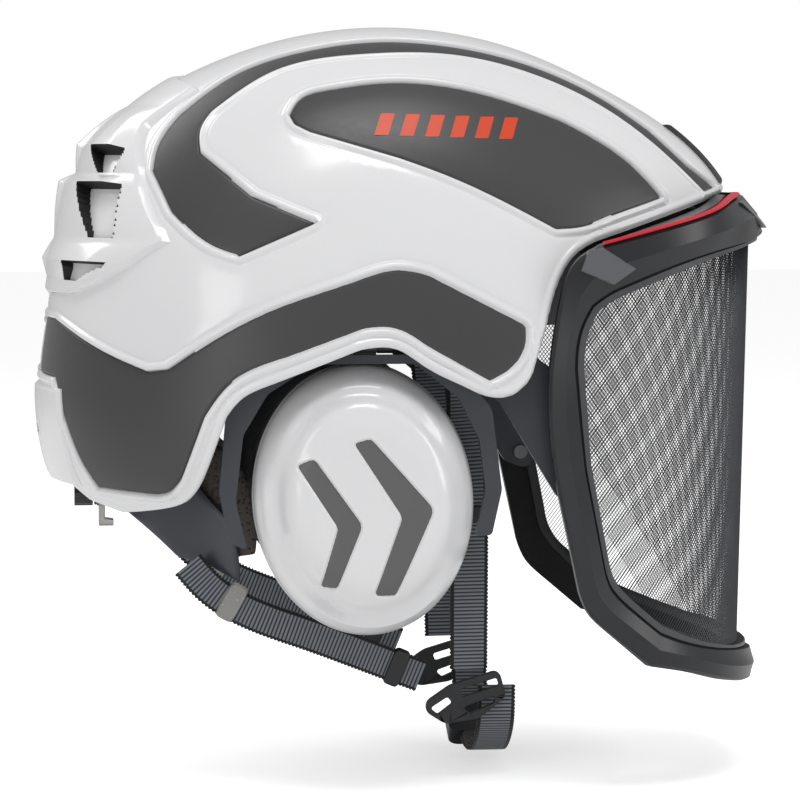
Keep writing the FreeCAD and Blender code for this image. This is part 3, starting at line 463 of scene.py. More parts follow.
def triangulate(border, extra, polygon):
    """Triangles that fill a closed chart border, through all the extra points."""
    edges = [(i, (i + 1) % len(border)) for i in range(len(border))]
    coords = [Vector(p) for p in np.vstack([border, extra]).tolist()]
    verts, _, faces, _, _, _ = delaunay_2d_cdt(coords, edges, [], 0, 1e-5)
    flat = np.array([list(v) for v in verts])
    faces = [list(f) for f in faces]
    middles = np.array([flat[f].mean(0) for f in faces])
    keep = inside(middles, polygon)
    return flat, [f for f, k in zip(faces, keep) if k]


def filler(polygon, pitch, crowd, room):
    """Staggered grid points in a polygon, clear of the crowd of points already placed."""
    low, high = polygon.min(0), polygon.max(0)
    rows = np.arange(low[1], high[1], pitch * 0.866)
    made = [np.stack([np.arange(low[0] + (i % 2) * pitch / 2, high[0], pitch),
                      np.full_like(np.arange(low[0] + (i % 2) * pitch / 2, high[0], pitch), row)],
                     1) for i, row in enumerate(rows)]
    made = np.vstack(made)
    made = made[inside(made, polygon)]
    flat_crowd = np.hstack([crowd, np.zeros((len(crowd), 1))])
    gap = nearest(np.hstack([made, np.zeros((len(made), 1))]), flat_crowd)
    return made[gap > room]


def thin_out(points, room):
    """Drops points that sit closer than the room to one kept before."""
    cells = {}
    kept = []
    for i, (x, y) in enumerate(points):
        a, b = int(x // room), int(y // room)
        near = False
        for da in (-1, 0, 1):
            for db in (-1, 0, 1):
                for k in cells.get((a + da, b + db), ()):
                    if (points[k, 0] - x) ** 2 + (points[k, 1] - y) ** 2 < room * room:
                        near = True
        if not near:
            cells.setdefault((a, b), []).append(i)
            kept.append(i)
    return points[kept]


RIM = outline((200, 133.5), [(154, 119.6)], [(95, 102)], [(84, 96), (78, 88), (71, 67)],
              [(65, 48.5)], [(58, 42), (49, 41), (39, 45)], [(20, 55), (12, 60), (5, 61), (-3, 60)],
              [(-39, 46)], [(-49, 41), (-55, 34)], [(-65, 6)], [(-69, 0), (-78, -4), (-93, -7)],
              [(-106, -3)], [(-120, 7), (-160, 20)], [(-160, 260)], [(200, 260)])

LOWER_BAND = outline((-145, 69), [(-120, 69)], [(-104, 59), (-85, 51)], [(-77, 52)],
                     [(-56, 66), (-36, 76), (-4, 87), (12, 91), (24, 89)], [(63, 69)],
                     [(63, 62), (58, 53), (48, 47)], [(23, 61)], [(10, 68), (-1, 68)], [(-31, 57)],
                     [(-54, 46), (-63, 34)], [(-72, 9)], [(-77, 3), (-87, 2)], [(-104, 3)],
                     [(-110, 12), (-117, 29)], [(-121, 46)], [(-145, 48)])

CREST = outline((-28, 151), [(-24, 157), (-13, 161), (11, 164), (48, 160), (82, 149)],
                [(111, 131), (123, 118)], [(100, 111)], [(88, 107), (76, 106)],
                [(33, 127), (14, 134)], [(-20, 144)], [(-26, 147)])

SWEEP = outline((-82, 129), [(-80, 138), (-71, 151)], [(-49, 167), (-20, 177), (10, 181), (33, 180),
                (80, 169), (103, 158), (122, 145)], [(137, 131)], [(150, 122)], [(143, 120)],
                [(121, 140), (103, 153), (73, 167), (38, 175), (4, 175), (-33, 168), (-58, 152)],
                [(-63, 144), (-63, 136)], [(-43, 119)], [(-19, 109)], [(-49, 96)],
                [(-60, 100), (-75, 113)])
SWEEP_ARM_Y = 16.0

BEAD_ROWS = [0.12, 0.55, 1.1, 1.8, 2.5, 3.1, 3.6, 4.2, 4.9]
BEAD_SHAPE = ([0.0, 0.12, 0.55, 1.1, 1.8, 2.5, 3.1, 3.6, 4.2, 4.9],
              [-0.5, -0.35, 0.45, 0.82, 0.85, 0.5, -0.1, -0.3, -0.12, 0.0])
RECESS = -1.9
SHELL_WALL = 2.8
INSET_DEPTH = 2.1
RIM_ROWS = [0.35, 0.8, 1.5, 2.3, 3.1, 3.8, 4.6]
RIM_SHAPE = ([0.0, 0.35, 0.8, 1.5, 2.3, 3.1, 3.8, 4.6],
             [-1.3, -0.5, 0.1, 0.5, 0.55, 0.3, -0.12, 0.0])


def off_middle(flat):
    """Which chart points lie clear of the helmet's middle plane."""
    return np.hypot(flat[:, 0], flat[:, 1]) / CHART < math.pi / 2 - 1e-3


def ccw(line):
    x, y = line[:, 0], line[:, 1]
    area = np.sum(x * np.roll(y, -1) - np.roll(x, -1) * y)
    return line if area > 0 else line[::-1]


class Panel:
    """A recess in the shell and the inset that fills it."""

    def __init__(self, side_view, keep_off):
        flat, _ = DOME.flat_side(side_view, keep_off)
        self.polygon = ccw(resample(flat, 1.5, closed=True))
        self.fine = resample(flat, 0.5, closed=True)
        self.fine = self.fine[off_middle(self.fine)]
        self.edge_points = DOME.bare(self.fine)


panels = {"lower_band_panel": Panel(LOWER_BAND, 0.0), "crest_panel": Panel(CREST, 0.0),
          "sweep_panel": Panel(SWEEP, SWEEP_ARM_Y)}


def build_shell():
    flat, _ = DOME.flat_side(RIM)
    border = ccw(resample(flat, 1.8, closed=True))
    fine = resample(flat, 0.5, closed=True)
    rim_points = DOME.bare(fine[off_middle(fine)])
    rows = [rows_beside(DOME, border[off_middle(border)], RIM_ROWS, closed=False)]
    for panel in panels.values():
        rows.append(rows_beside(DOME, panel.polygon, [-r for r in BEAD_ROWS] + [0.12, 1.5]))
    crowd = np.vstack(rows)
    crowd = crowd[inside(crowd, border)]
    crowd = thin_out(crowd, 0.22)
    crowd_gap = nearest(np.hstack([crowd, np.zeros((len(crowd), 1))]),
                        np.hstack([border, np.zeros((len(border), 1))]))
    crowd = crowd[crowd_gap > 0.2]
    grid = filler(border, 2.6, np.vstack([border, crowd]), 1.5)
    flat, faces = triangulate(border, np.vstack([crowd, grid]), border)
    points, normals = DOME.frame(flat)
    height = np.interp(nearest(points, rim_points), *RIM_SHAPE)
    for panel in panels.values():
        gap = nearest(points, panel.edge_points)
        within = inside(flat, panel.polygon)
        outer = np.interp(gap, *BEAD_SHAPE)
        height = np.where(within, RECESS, height + outer)
    front = points + normals * height[:, None]
    back = points - normals * SHELL_WALL
    front[np.abs(points[:, 1]) < 1e-3, 1] = 0
    back[np.abs(points[:, 1]) < 1e-3, 1] = 0
    solid, faces = close_back(front, back, faces)
    middle = np.abs(solid[:, 1]) < 0.02
    faces = [f for f in faces if not (len(f) == 4 and middle[f].all())]
    solid, faces = mirror_y(solid, faces)
    piece("outer_shell_skin", solid, faces, WHITE, "helmet", ["outer_shell"],
          angle=40)


build_shell()


def build_panel(name, label, both, swell=0.0):
    panel = panels[label]
    edge = rows_beside(DOME, panel.polygon, [0.28])
    on_middle = np.hypot(panel.polygon[:, 0], panel.polygon[:, 1]) / CHART > math.pi / 2 - 1e-3
    if on_middle.any():
        edge = np.vstack([edge, panel.polygon[on_middle]])
    order = []
    for spot in panel.polygon:
        gaps = np.hypot(*(edge - spot).T)
        best = int(np.argmin(gaps))
        if gaps[best] < 1.2 and (not order or order[-1] != best) and best not in order[-6:]:
            order.append(best)
    border = edge[order]
    rows = rows_beside(DOME, border, [0.3, 0.75, 1.4])
    rows = rows[inside(rows, border)]
    rows = thin_out(rows, 0.2)
    grid = filler(border, 3.2, np.vstack([border, rows]), 1.6)
    flat, faces = triangulate(border, np.vstack([rows, grid]), border)
    points, normals = DOME.frame(flat)
    fine = resample(border, 0.4, closed=True)
    gap = nearest(points, DOME.bare(fine[off_middle(fine)]))
    height = np.interp(gap, [0, 0.3, 0.75, 1.4, 9.0], [-1.25, -0.8, -0.6, -0.55, -0.55 + swell])
    front = points + normals * height[:, None]
    back = points - normals * INSET_DEPTH
    if both:
        for side in (front, back):
            side[np.abs(points[:, 1]) < 1e-3, 1] = 0
    solid, faces = close_back(front, back, faces)
    if both:
        middle = np.abs(solid[:, 1]) < 0.02
        faces = [f for f in faces if not (len(f) == 4 and middle[f].all())]
        solid, faces = mirror_y(solid, faces)
        piece(name, solid, faces, PANEL, "helmet", [label])
        return
    piece(name + "_right", solid, faces, PANEL, "helmet", [label + "_right"])
    solid, faces = mirror_y(solid, faces, keep=False)
    piece(name + "_left", solid, faces, PANEL, "helmet", [label + "_left"])


build_panel("lower_band_inset", "lower_band_panel", True)
build_panel("crest_inset", "crest_panel", False, 0.4)
build_panel("sweep_inset", "sweep_panel", False)

# ---------------------------------------------------------------- cowl, brow vent, rear plate


def dome_width(x, z):
    share = np.hypot(x, z - POLE_Z) / profile_radius(np.arctan2(z - POLE_Z, x))
    return HALF_WIDTH * taper(x) * np.maximum(0, 1 - share ** POWER) ** (1 / POWER)


def dome_x(z, width, off, on):
    """Where the dome is that wide at height z, between an x off the dome and one on it."""
    off = np.full(z.shape, float(off))
    on = np.full(z.shape, float(on))
    for _ in range(45):
        middle = (off + on) / 2
        held = dome_width(middle, z) > width
        on = np.where(held, middle, on)
        off = np.where(held, off, middle)
    return on


def patch(name, heights, shares, half_width, off, shape, looks, stands_for, sink=0.6):
    """Relief over a piece of the dome, drawn as rows of height across the middle plane."""
    z, share = np.meshgrid(heights, shares, indexing="ij")
    width = share * half_width(z)
    x = dome_x(z, width, off, off * 0.2)
    side = np.stack([x.ravel(), -width.ravel(), z.ravel()], 1)
    points, normals = DOME.frame(DOME.flat_of(side))
    normals[side[:, 1] > -1e-6, 1] = 0
    height, shade = shape(z.ravel(), share.ravel(), width.ravel())
    front = side + normals * height[:, None]
    back = side - normals * sink
    front[side[:, 1] > -1e-6, 1] = 0
    back[side[:, 1] > -1e-6, 1] = 0
    faces = grid_faces(len(heights), len(shares))
    if off > 0:
        faces = [list(reversed(face)) for face in faces]
    shades = [int(max(shade[face])) for face in faces]
    solid, faces = close_back(front, back, faces)
    shades = shades + [0] * (len(faces) - len(shades))
    middle = np.abs(solid[:, 1]) < 1e-6
    keep = [not middle[face].all() for face in faces]
    faces = [face for face, k in zip(faces, keep) if k]
    shades = [shade for shade, k in zip(shades, keep) if k]
    solid, faces, shades = mirror_y(solid, faces, shades)
    return piece(name, solid, faces, looks, "helmet", stands_for, angle=26, shades=shades)


def with_steps(values, steps, width=0.22):
    """Sorted values with a tight pair at each step."""
    pairs = [s + d for s in steps for d in (-width, width)]
    kept = [v for v in values if min(abs(v - p) for p in pairs) > width * 1.5]
    return np.array(sorted(kept + pairs))


COWL_EDGE = ([78, 80, 84, 90, 101, 106, 112, 130, 146, 155, 161, 167.3],
             [4, 54, 66, 77, 86, 83, 78, 63.5, 48, 46, 44, 3])
# Each louvre: top of its slope, its lip, bottom of its mouth, how far the lip stands out.
LOUVRES = [(153.0, 135.0, 127.0, 5.0), (126.0, 121.5, 102.0, 4.6), (100.0, 92.0, 85.0, 3.0)]


def cowl_shape(z, share, width):
    across = np.interp(share, [0, 0.08, 0.14, 0.40, 0.60, 0.80, 0.93, 1],
                       [1.05, 1.0, 0.62, 0.75, 1.0, 1.0, 0.3, 0.0])
    height = np.full(z.shape, 2.2)
    shade = np.zeros(z.shape, int)
    for top, lip, foot, reach in LOUVRES:
        rise = np.clip((top - z) / (top - lip), 0, 1) ** 0.85
        lift = reach * rise * across
        above = (z <= top) & (z > lip)
        height = np.where(above, 2.2 + lift, height)
        mouth = (z <= lip) & (z > foot)
        fall = np.clip((z - foot) / (lip - foot), 0, 1)
        height = np.where(mouth, 2.2 + reach * fall * across, height)
        # The floor of each mouth is sunk and painted near black: painted shade standing for the
        # open vent behind it.
        slant = 0.10 * (1 - fall)
        hole = mouth & (share > 0.57 + slant) & (share < 0.90 - slant)
        height = np.where(hole, -0.5, height)
        shade = np.where(hole, 1, shade)
    edge = half_cowl(z) - width
    height = height * ease(edge, -0.6, 2.4) - 0.3 * (edge < 0.3)
    height *= ease(z, 77.6, 80.5) * (1 - ease(z, 164.5, 167.4) * 0.9)
    return height, shade


def half_cowl(z):
    return np.interp(z, *COWL_EDGE)


def build_cowl():
    rows = with_steps(np.linspace(78, 167.3, 90), [v for louvre in LOUVRES for v in louvre[1:3]])
    columns = with_steps(np.linspace(0, 1, 80), [0.08, 0.14, 0.57, 0.90], 0.003)
    columns[0], columns[-1] = 0.0, 1.0
    patch("rear_vent_hood", rows, columns, half_cowl, -150, cowl_shape, [WHITE, SHADOW_PAINT],
          ["rear_vent_cowl"])


def brow_shape(z, share, width):
    height = np.full(z.shape, 1.9)
    shade = np.zeros(z.shape, int)
    # Two slots sunk to the base and painted near black: painted shade in the vent openings.
    for middle in (0.0, 8.0):
        hole = (np.abs(width - middle) < 1.6) & (z > 127) & (z < 137)
        height = np.where(hole, 0.0, height)
        shade = np.where(hole, 1, shade)
    edge = np.minimum.reduce([15.0 - width, z - 122.4, 147.0 - z])
    return height * ease(edge, -0.5, 1.4), shade


def build_brow():
    rows = with_steps(np.linspace(122.4, 147.0, 34), [127.0, 137.0])
    columns = with_steps(np.linspace(0, 1, 34), [1.6 / 15, 6.4 / 15, 9.6 / 15], 0.01)
    columns[0], columns[-1] = 0.0, 1.0
    patch("brow_grille", rows, columns, lambda z: np.full(z.shape, 15.0), 200, brow_shape,
          [BLACK, SHADOW_PAINT], ["brow_vent"])


def half_plate(z):
    return np.interp(z, [3, 20, 42], [55, 54, 50])


def plate_shape(z, share, width):
    away = np.hypot(width - 20.0, z - 24.0)
    boss = np.interp(away, [0, 2.05, 2.1, 2.5, 4.2, 4.9], [-2.4, -2.4, 1.5, 2.1, 2.1, 1.6])
    height = np.where(away < 4.9, boss, 1.6)
    edge = np.minimum.reduce([half_plate(z) - width, z - 3.2, 41.8 - z])
    height = np.where(away < 5, height, 1.6 * ease(edge, -0.4, 1.5))
    # The sunk middle of the boss is painted near black: painted shade in its hole.
    return height, (away < 2.08).astype(int)


def build_rear_plate():
    rows = np.unique(np.concatenate([np.linspace(3.2, 41.8, 30), np.arange(18.6, 29.6, 0.3)]))
    columns = np.unique(np.concatenate([np.linspace(0, 1, 36), np.arange(0.27, 0.48, 0.0058)]))
    patch("rear_mount_plate", rows, columns, half_plate, -150, plate_shape, [WHITE, SHADOW_PAINT],
          ["rear_plate"])


build_cowl()
build_brow()
build_rear_plate()

# ---------------------------------------------------------------- generic mark on the crest


MARK_PLACES = (8.0, 18.0, 28.0, 38.0, 48.0, 58.0)
MARK_FOOT = 143.0
MARK_TOP = 151.5
MARK_FALL = 0.03


def build_marks():
    """Plain slanted bars on the crest panel, both sides."""
    points, faces = [], []
    for middle in MARK_PLACES:
        low, high = MARK_FOOT - MARK_FALL * middle, MARK_TOP - MARK_FALL * middle
        corners = [(middle - 3.4, low), (middle + 2.2, low), (middle + 5.4, high),
                   (middle - 0.2, high)]
        ring = resample(np.array(corners), 0.6, closed=True)
        flat, _ = DOME.flat_side(ring)
        centre = flat.mean(0)
        both = np.vstack([flat, [centre]])
        base, normals = DOME.frame(both)
        start = len(points)
        points += list(base - normals * 0.04) + list(base - normals * 0.45)
        count = len(ring)
        for i in range(count):
            j = (i + 1) % count
            faces.append([start + i, start + j, start + count])
            faces.append([start + j + count + 1, start + i + count + 1, start + 2 * count + 1])
            faces.append([start + j, start + i, start + i + count + 1, start + j + count + 1])
    piece("crest_mark_right", points, faces, ORANGE, "helmet")
    other, flipped = mirror_y(np.array(points), faces, keep=False)
    piece("crest_mark_left", other, flipped, ORANGE, "helmet")


build_marks()

# ---------------------------------------------------------------- visor

ROOT_X = 80.0
VISOR_HALF = 99.0
VISOR_POWER = 2.2
VISOR_DEPTH = 92.0
# How far the visor's top edge leans back at the front.
LEAN = 9.5


def front_reach(z):
    """Depth of the visor's front from its root at height z."""
    return 172.0 - (100.0 - z) * 0.024 - ROOT_X


class Column:
    """Plan curve of the visor: along is the distance from its root, round to the front."""

    def __init__(self):
        angle = np.linspace(0, math.pi / 2, 900)
        self.angle = angle
        x = VISOR_DEPTH * np.sin(angle) ** (2 / VISOR_POWER)
        y = VISOR_HALF * np.maximum(np.cos(angle), 0) ** (2 / VISOR_POWER)
        self.along = np.concatenate([[0], np.cumsum(np.hypot(np.diff(x), np.diff(y)))])
        self.end = self.along[-1]

    def at(self, flat, grow):
        along, z = flat[:, 0], flat[:, 1]
        angle = np.interp(along, self.along, self.angle)
        front = ease(along, self.end * 0.30, self.end * 0.62)
        raised = ease(z, 108, 116) * front
        grow = np.where(np.asarray(grow) < -1, grow * (1 - 0.75 * raised), grow)
        grow = grow - LEAN * front * np.clip((z - 104.5) / 14.4, 0, 1.1)
        reach = front_reach(z) + grow
        x = ROOT_X + reach * np.sin(angle) ** (2 / VISOR_POWER) + np.minimum(along, 0)
        y = (VISOR_HALF + grow) * np.maximum(np.cos(angle), 0) ** (2 / VISOR_POWER)
        y[along > self.end - 1e-3] = 0
        return np.stack([x, -y, z], 1)

    def flat_side(self, side):
        x, z = side[:, 0], side[:, 1]
        reach = front_reach(z)
        share = np.clip((x - ROOT_X) / reach, 0, 1)
        along = np.interp(np.arcsin(share ** (VISOR_POWER / 2)), self.angle, self.along)
        return np.stack([np.where(x < ROOT_X, x - ROOT_X, along), z], 1)


COLUMN = Column()

# Runs of the frame's outer edge and of its window, matched corner for corner.
FRAME_RUNS = [
    ([(176, 119.2), (168.5, 118.9)], [(176, 100.4), (163, 98.8), (158, 97.6)], 18),
    ([(168.5, 118.9), (92, 99.6)], [(158, 97.6), (143, 94), (124, 88), (105, 81)], 40),
    ([(92, 99.6), (82, 93), (77.5, 84)], [(105, 81), (98, 78), (92, 74)], 14),
    ([(77.5, 84), (75, 72), (72, 50)], [(92, 74), (88, 66), (86, 52)], 16),
    ([(72, 50), (72, 30), (76, 1)], [(86, 52), (89, 14)], 20),
    ([(76, 1), (84, -36)], [(89, 14), (96, -22)], 14),
    ([(84, -36), (88, -45), (94, -51)], [(96, -22), (99, -32), (106, -40)], 12),
    ([(94, -51), (114, -67)], [(106, -40), (119, -51)], 12),
    ([(114, -67), (135, -72), (150, -77), (165, -81)], [(119, -51), (135, -58), (155, -64)], 22),
    ([(165, -81), (176, -83.4)], [(155, -64), (176, -66.8)], 18),
]


def frame_lines():
    outer, window = [], []
    for index, (out_run, in_run, count) in enumerate(FRAME_RUNS):
        for run, line in ((out_run, outer), (in_run, window)):
            even = even_steps(COLUMN.flat_side(smooth_run(run, 0.2)), count + 1)
            line.append(even if index == len(FRAME_RUNS) - 1 else even[:-1])
    return np.vstack(outer), np.vstack(window)


def column_ring(start_line, end_line, profile, shades=None, ends=False):
    """Bar swept between two matched lines; profile gives (share, offset mm, grow) points."""
    rows = []
    for share, shift, grow in profile:
        span = end_line - start_line
        length = np.maximum(np.linalg.norm(span, axis=1), 1e-6)[:, None]
        flat = start_line + span * share + span / length * shift
        flat[start_line[:, 0] > COLUMN.end - 1e-3, 0] = COLUMN.end
        rows.append(COLUMN.at(flat, grow))
    points = np.stack(rows, 1).reshape(-1, 3)
    stations, count = len(start_line), len(profile)
    faces = grid_faces(stations, count, wrap_columns=True)
    if ends:
        faces += end_caps(stations, count)
    return points, faces, None if shades is None else list(shades) * (stations - 1)


def both_sides(name, points, faces, looks, body, stands_for=(), shades=None, angle=24.0,
               join=False):
    """The right-hand piece with its left-hand twin in one mesh."""
    points = np.asarray(points, float)
    if join:
        if shades is None:
            solid, faces = mirror_y(points, faces)
        else:
            solid, faces, shades = mirror_y(points, faces, shades)
    else:
        other = [[i + len(points) for i in reversed(face)] for face in faces]
        solid = np.vstack([points, points * [1, -1, 1]])
        faces = faces + other
        shades = None if shades is None else list(shades) * 2
    return piece(name, solid, faces, looks, body, stands_for, angle=angle, shades=shades)


FRAME_PROFILE = [(0, 0, -5.0), (0, 0, -2.0), (0, 0.35, -1.6), (0, 2.7, -1.6), (0, 2.9, -2.5),
                 (0, 3.8, -2.5), (0, 4.3, 0.4), (0.58, 0, 2.3), (1, -1.3, 0.9), (1, 0, -0.4),
                 (1, 0, -5.0)]
# Shade 2 is painted shade, near black: the frame's inner wall by the window, the groove behind the
# lip and the frame's back.
FRAME_SHADES = [2, 1, 1, 1, 2, 2, 0, 0, 0, 0, 2]


def build_frame():
    outer, window = frame_lines()
    points, faces, shades = column_ring(window, outer, FRAME_PROFILE, shades=FRAME_SHADES)
    both_sides("visor_bars", points, faces, [FRAME, LIP, SHADOW_PAINT], "visor",
               ["visor_frame"], shades=shades, angle=20, join=True)
    return outer, window


def even_line(points, count):
    """A side-view line as that many even steps on the visor's chart."""
    return even_steps(COLUMN.flat_side(resample(np.array(points, float), 0.2)), count)


PLATE_PROFILE = [(0, 0, 0.5), (0, 0, 2.0), (0, 0.4, 2.5), (1, -0.4, 2.5), (1, 0, 2.0), (1, 0, 0.5)]


def build_visor_trim():
    outer, window = build_frame()
    # Corner plate in lighter grey: painted highlight on the facet.
    points, faces, _ = column_ring(even_line([(83.9, 89.8), (96.7, 84.2), (104.9, 90.0)], 40),
                                   even_line([(86.9, 97.9), (92.4, 98.9), (105.4, 90.6)], 40),
                                   PLATE_PROFILE, ends=True)
    both_sides("visor_corner_highlight", points, faces, FACET_HIGHLIGHT, "visor", angle=30)
    # Narrow strip at the front in lighter grey: painted highlight along the crease.
    points, faces, _ = column_ring(even_line([(168.5, 105.0), (161.5, 115.6)], 20),
                                   even_line([(170.0, 105.4), (164.0, 116.4)], 20),
                                   PLATE_PROFILE, ends=True)
    both_sides("visor_front_highlight", points, faces, FACET_HIGHLIGHT, "visor", angle=30)
    seal = [(0, 0, -1.0), (0, 0, 1.2), (0.3, 0, 1.7), (0.7, 0, 1.7), (1, 0, 1.2), (1, 0, -1.0)]
    points, faces, _ = column_ring(even_line([(93, 99.9), (165.5, 118.6)], 60),
                                   even_line([(93, 101.1), (165.5, 119.8)], 60), seal, ends=True)
    both_sides("seal_lip", points, faces, RED, "visor", ["visor_seal"], angle=40)
    build_shelf()
    build_wires(outer, window)


def build_shelf():
    """Top of the visor, from its frame back to just off the shell."""
    lines = []
    for start, end, count in (((92, 99.6), (158, 118.8), 40), ((158, 118.8), (173.5, 106.2), 16)):
        shares = np.linspace(0, 1, count)[:, None]
        lines.append(np.array(start) + (np.array(end) - np.array(start)) * shares)
    side = np.vstack([lines[0], lines[1][1:]])
    flat = COLUMN.flat_side(side)
    outer = COLUMN.at(flat, -0.6)
    inner_width = dome_width(side[:, 0] - 2.4, side[:, 1] - 2.4) + 2.6
    ahead = dome_width(side[:, 0] - 2.4, side[:, 1] - 2.4) <= 0
    inner_width[ahead] = 0
    columns = []
    for share in np.linspace(0, 1, 9):
        row = outer.copy()
        row[:, 1] = -(np.abs(outer[:, 1]) * (1 - share) + inner_width * share)
        row[:, 1] = np.where(row[:, 1] > -1e-6, 0, row[:, 1])
        columns.append(row)
    points = np.stack(columns, 1).reshape(-1, 3)
    faces = [list(reversed(face)) for face in grid_faces(len(side), 9)]
    back = points - [0.5, 0, 5.0]
    solid, faces = close_back(points, back, faces)
    middle = np.abs(solid[:, 1]) < 1e-6
    faces = [f for f in faces if not middle[f].all()]
    both_sides("visor_top", solid, faces, FRAME, "visor", angle=30, join=True)


WIRE_PITCH = 1.3
WIRE_RADIUS = 0.19
WIRE_LEAN = 1.25
# How far each layer of wires lies inside the visor's surface.
WIRE_LAYERS = ((1, -5.3), (-1, -5.7))


def build_wires(outer, window):
    """Diagonal wires of the visor mesh, one way over the other."""
    span = outer - window
    span /= np.linalg.norm(span, axis=1)[:, None]
    polygon = window + span * 2.6
    polygon[0, 0] = polygon[-1, 0] = COLUMN.end
    polygon = np.vstack([polygon, [[COLUMN.end + 1, polygon[-1, 1]], [COLUMN.end + 1,
                                                                     polygon[0, 1]]]])
    low, high = polygon.min(0), polygon.max(0)
    points, faces = [], []
    step = WIRE_PITCH * math.hypot(1, WIRE_LEAN)
    for way, grow in WIRE_LAYERS:
        first = low[1] - high[0] * WIRE_LEAN - 200
        for k in range(int(600 / step)):
            offset = first + k * step
            # Wires pass the middle plane at matching heights so that both halves join.
            along = np.arange(low[0], COLUMN.end + 0.01, 0.6)
            along[-1] = min(along[-1], COLUMN.end)
            z = offset + 300 + way * WIRE_LEAN * (along - COLUMN.end)
            flat = np.stack([along, z], 1)
            held = inside(flat, polygon)
            edges = np.flatnonzero(np.diff(np.concatenate([[0], held.astype(int), [0]])))
            for a, b in zip(edges[::2], edges[1::2]):
                run = flat[a:b]
                if len(run) < 4:
                    continue
                picks = np.unique(np.linspace(0, len(run) - 1,
                                              max(2, int(len(run) / 5))).astype(int))
                add_wire(points, faces, run[picks], grow)
    both_sides("visor_wire_mesh", points, faces, WIRE, "visor", ["visor_mesh"],
               angle=80)


def add_wire(points, faces, flat, grow):
    spine = COLUMN.at(flat, grow)
    out = COLUMN.at(flat, grow + 1) - spine
    out /= np.linalg.norm(out, axis=1)[:, None]
    ahead = np.gradient(spine, axis=0)
    ahead /= np.linalg.norm(ahead, axis=1)[:, None]
    side = np.cross(ahead, out)
    start = len(points)
    for i in range(len(spine)):
        for turn in (90, 210, 330):
            angle = math.radians(turn)
            points.append(spine[i] + WIRE_RADIUS * (out[i] * math.sin(angle)
                                                    + side[i] * math.cos(angle)))
    for i in range(len(spine) - 1):
        for j in range(3):
            k = (j + 1) % 3
            here, there = start + 3 * i, start + 3 * i + 3
            faces.append([here + j, here + k, there + k, there + j])


build_visor_trim()

# ---------------------------------------------------------------- ear cups

CUP_HALF = (43.6, 54.1)
CUP_LEAN = math.radians(6.0)
CUP_STEPS = 180
# Rows of the cup's edge, inwards: share of the outline and distance from the middle plane.
CUP_SKIRT = ((0.99, 87.2), (0.991, 86.2), (0.997, 85.7), (0.999, 84.9), (0.999, 83.4),
             (0.996, 82.7), (0.986, 82.5), (0.984, 82.0), (0.98, 80.3), (0.93, 80.3),
             (0.93, 88.0))
CUP_CURVE = smooth_run([(0.0, 111.2), (0.35, 110.9), (0.60, 110.0), (0.69, 108.4), (0.76, 105.6),
                        (0.83, 102.0), (0.90, 98.0), (0.96, 93.0), (0.985, 89.6)], 0.2)


def wave(value, middle, width):
    return np.exp(-((value - middle) / width) ** 2)


class CupFace:
    """Outer face of the right cup over the side view."""

    def height(self, flat):
        u = flat[:, 0] * math.cos(CUP_LEAN) + flat[:, 1] * math.sin(CUP_LEAN)
        v = flat[:, 1] * math.cos(CUP_LEAN) - flat[:, 0] * math.sin(CUP_LEAN)
        share = np.hypot(u / CUP_HALF[0], v / CUP_HALF[1])
        angle = np.degrees(np.arctan2(v, u)) % 360
        base = np.interp(share, CUP_CURVE[:, 0], CUP_CURVE[:, 1])
        top = ease(angle, 15, 50) * (1 - ease(angle, 120, 165))
        base = base + top * (1.3 * wave(share, 0.86, 0.035) - 1.0 * wave(share, 0.78, 0.03)
                             + 0.9 * wave(share, 0.70, 0.03))
        left = ease(angle, 140, 175) * (1 - ease(angle, 235, 262))
        base = base - left * 4.2 * wave(share, 0.80, 0.075)
        foot = ease(angle, 225, 250) * (1 - ease(angle, 292, 325))
        base = base + foot * (2.6 * wave(share, 0.91, 0.04) - 2.2 * wave(share, 0.80, 0.05))
        return base

    def frame(self, flat):
        step = 0.05
        rise = self.height(flat)
        along_x = self.height(flat + [step, 0]) - self.height(flat - [step, 0])
        along_z = self.height(flat + [0, step]) - self.height(flat - [0, step])
        normals = np.stack([-along_x / (2 * step), -np.ones(len(flat)), -along_z / (2 * step)], 1)
        normals /= np.linalg.norm(normals, axis=1)[:, None]
        return np.stack([flat[:, 0], -rise, flat[:, 1]], 1), normals

    def flat_of(self, points):
        return points[:, [0, 2]]


def leaned_ring(share, count):
    turns = np.linspace(0, math.tau, count, endpoint=False)
    u = CUP_HALF[0] * share * np.cos(turns)
    v = CUP_HALF[1] * share * np.sin(turns)
    return np.stack([u * math.cos(CUP_LEAN) - v * math.sin(CUP_LEAN),
                     u * math.sin(CUP_LEAN) + v * math.cos(CUP_LEAN)], 1)


CHEVRONS = [
    [(-6, 24), (1, 26), (26, -2), (11, -36), (2, -36), (13, -5)],
    [(-28, 15.5), (-21, 18.5), (-2, -8), (-12, -33), (-19, -33), (-12, -9)],
]
CHEVRON_RADII = [1.5, 3, 5, 2, 2, 4]


def rounded(points, radii, step):
    """Closed line with its corners rounded, in small even steps."""
    made = []
    count = len(points)
    for i in range(count):
        corner = np.array(points[i], float)
        back = np.array(points[i - 1], float) - corner
        ahead = np.array(points[(i + 1) % count], float) - corner
        back /= np.linalg.norm(back)
        ahead /= np.linalg.norm(ahead)
        half = math.acos(float(back @ ahead)) / 2
        reach = radii[i] / math.tan(half)
        for share in np.linspace(0, 1, 7):
            made.append(corner + back * reach * (1 - share) ** 2 + ahead * reach * share ** 2)
    return ccw(resample(np.array(made), step, closed=True))


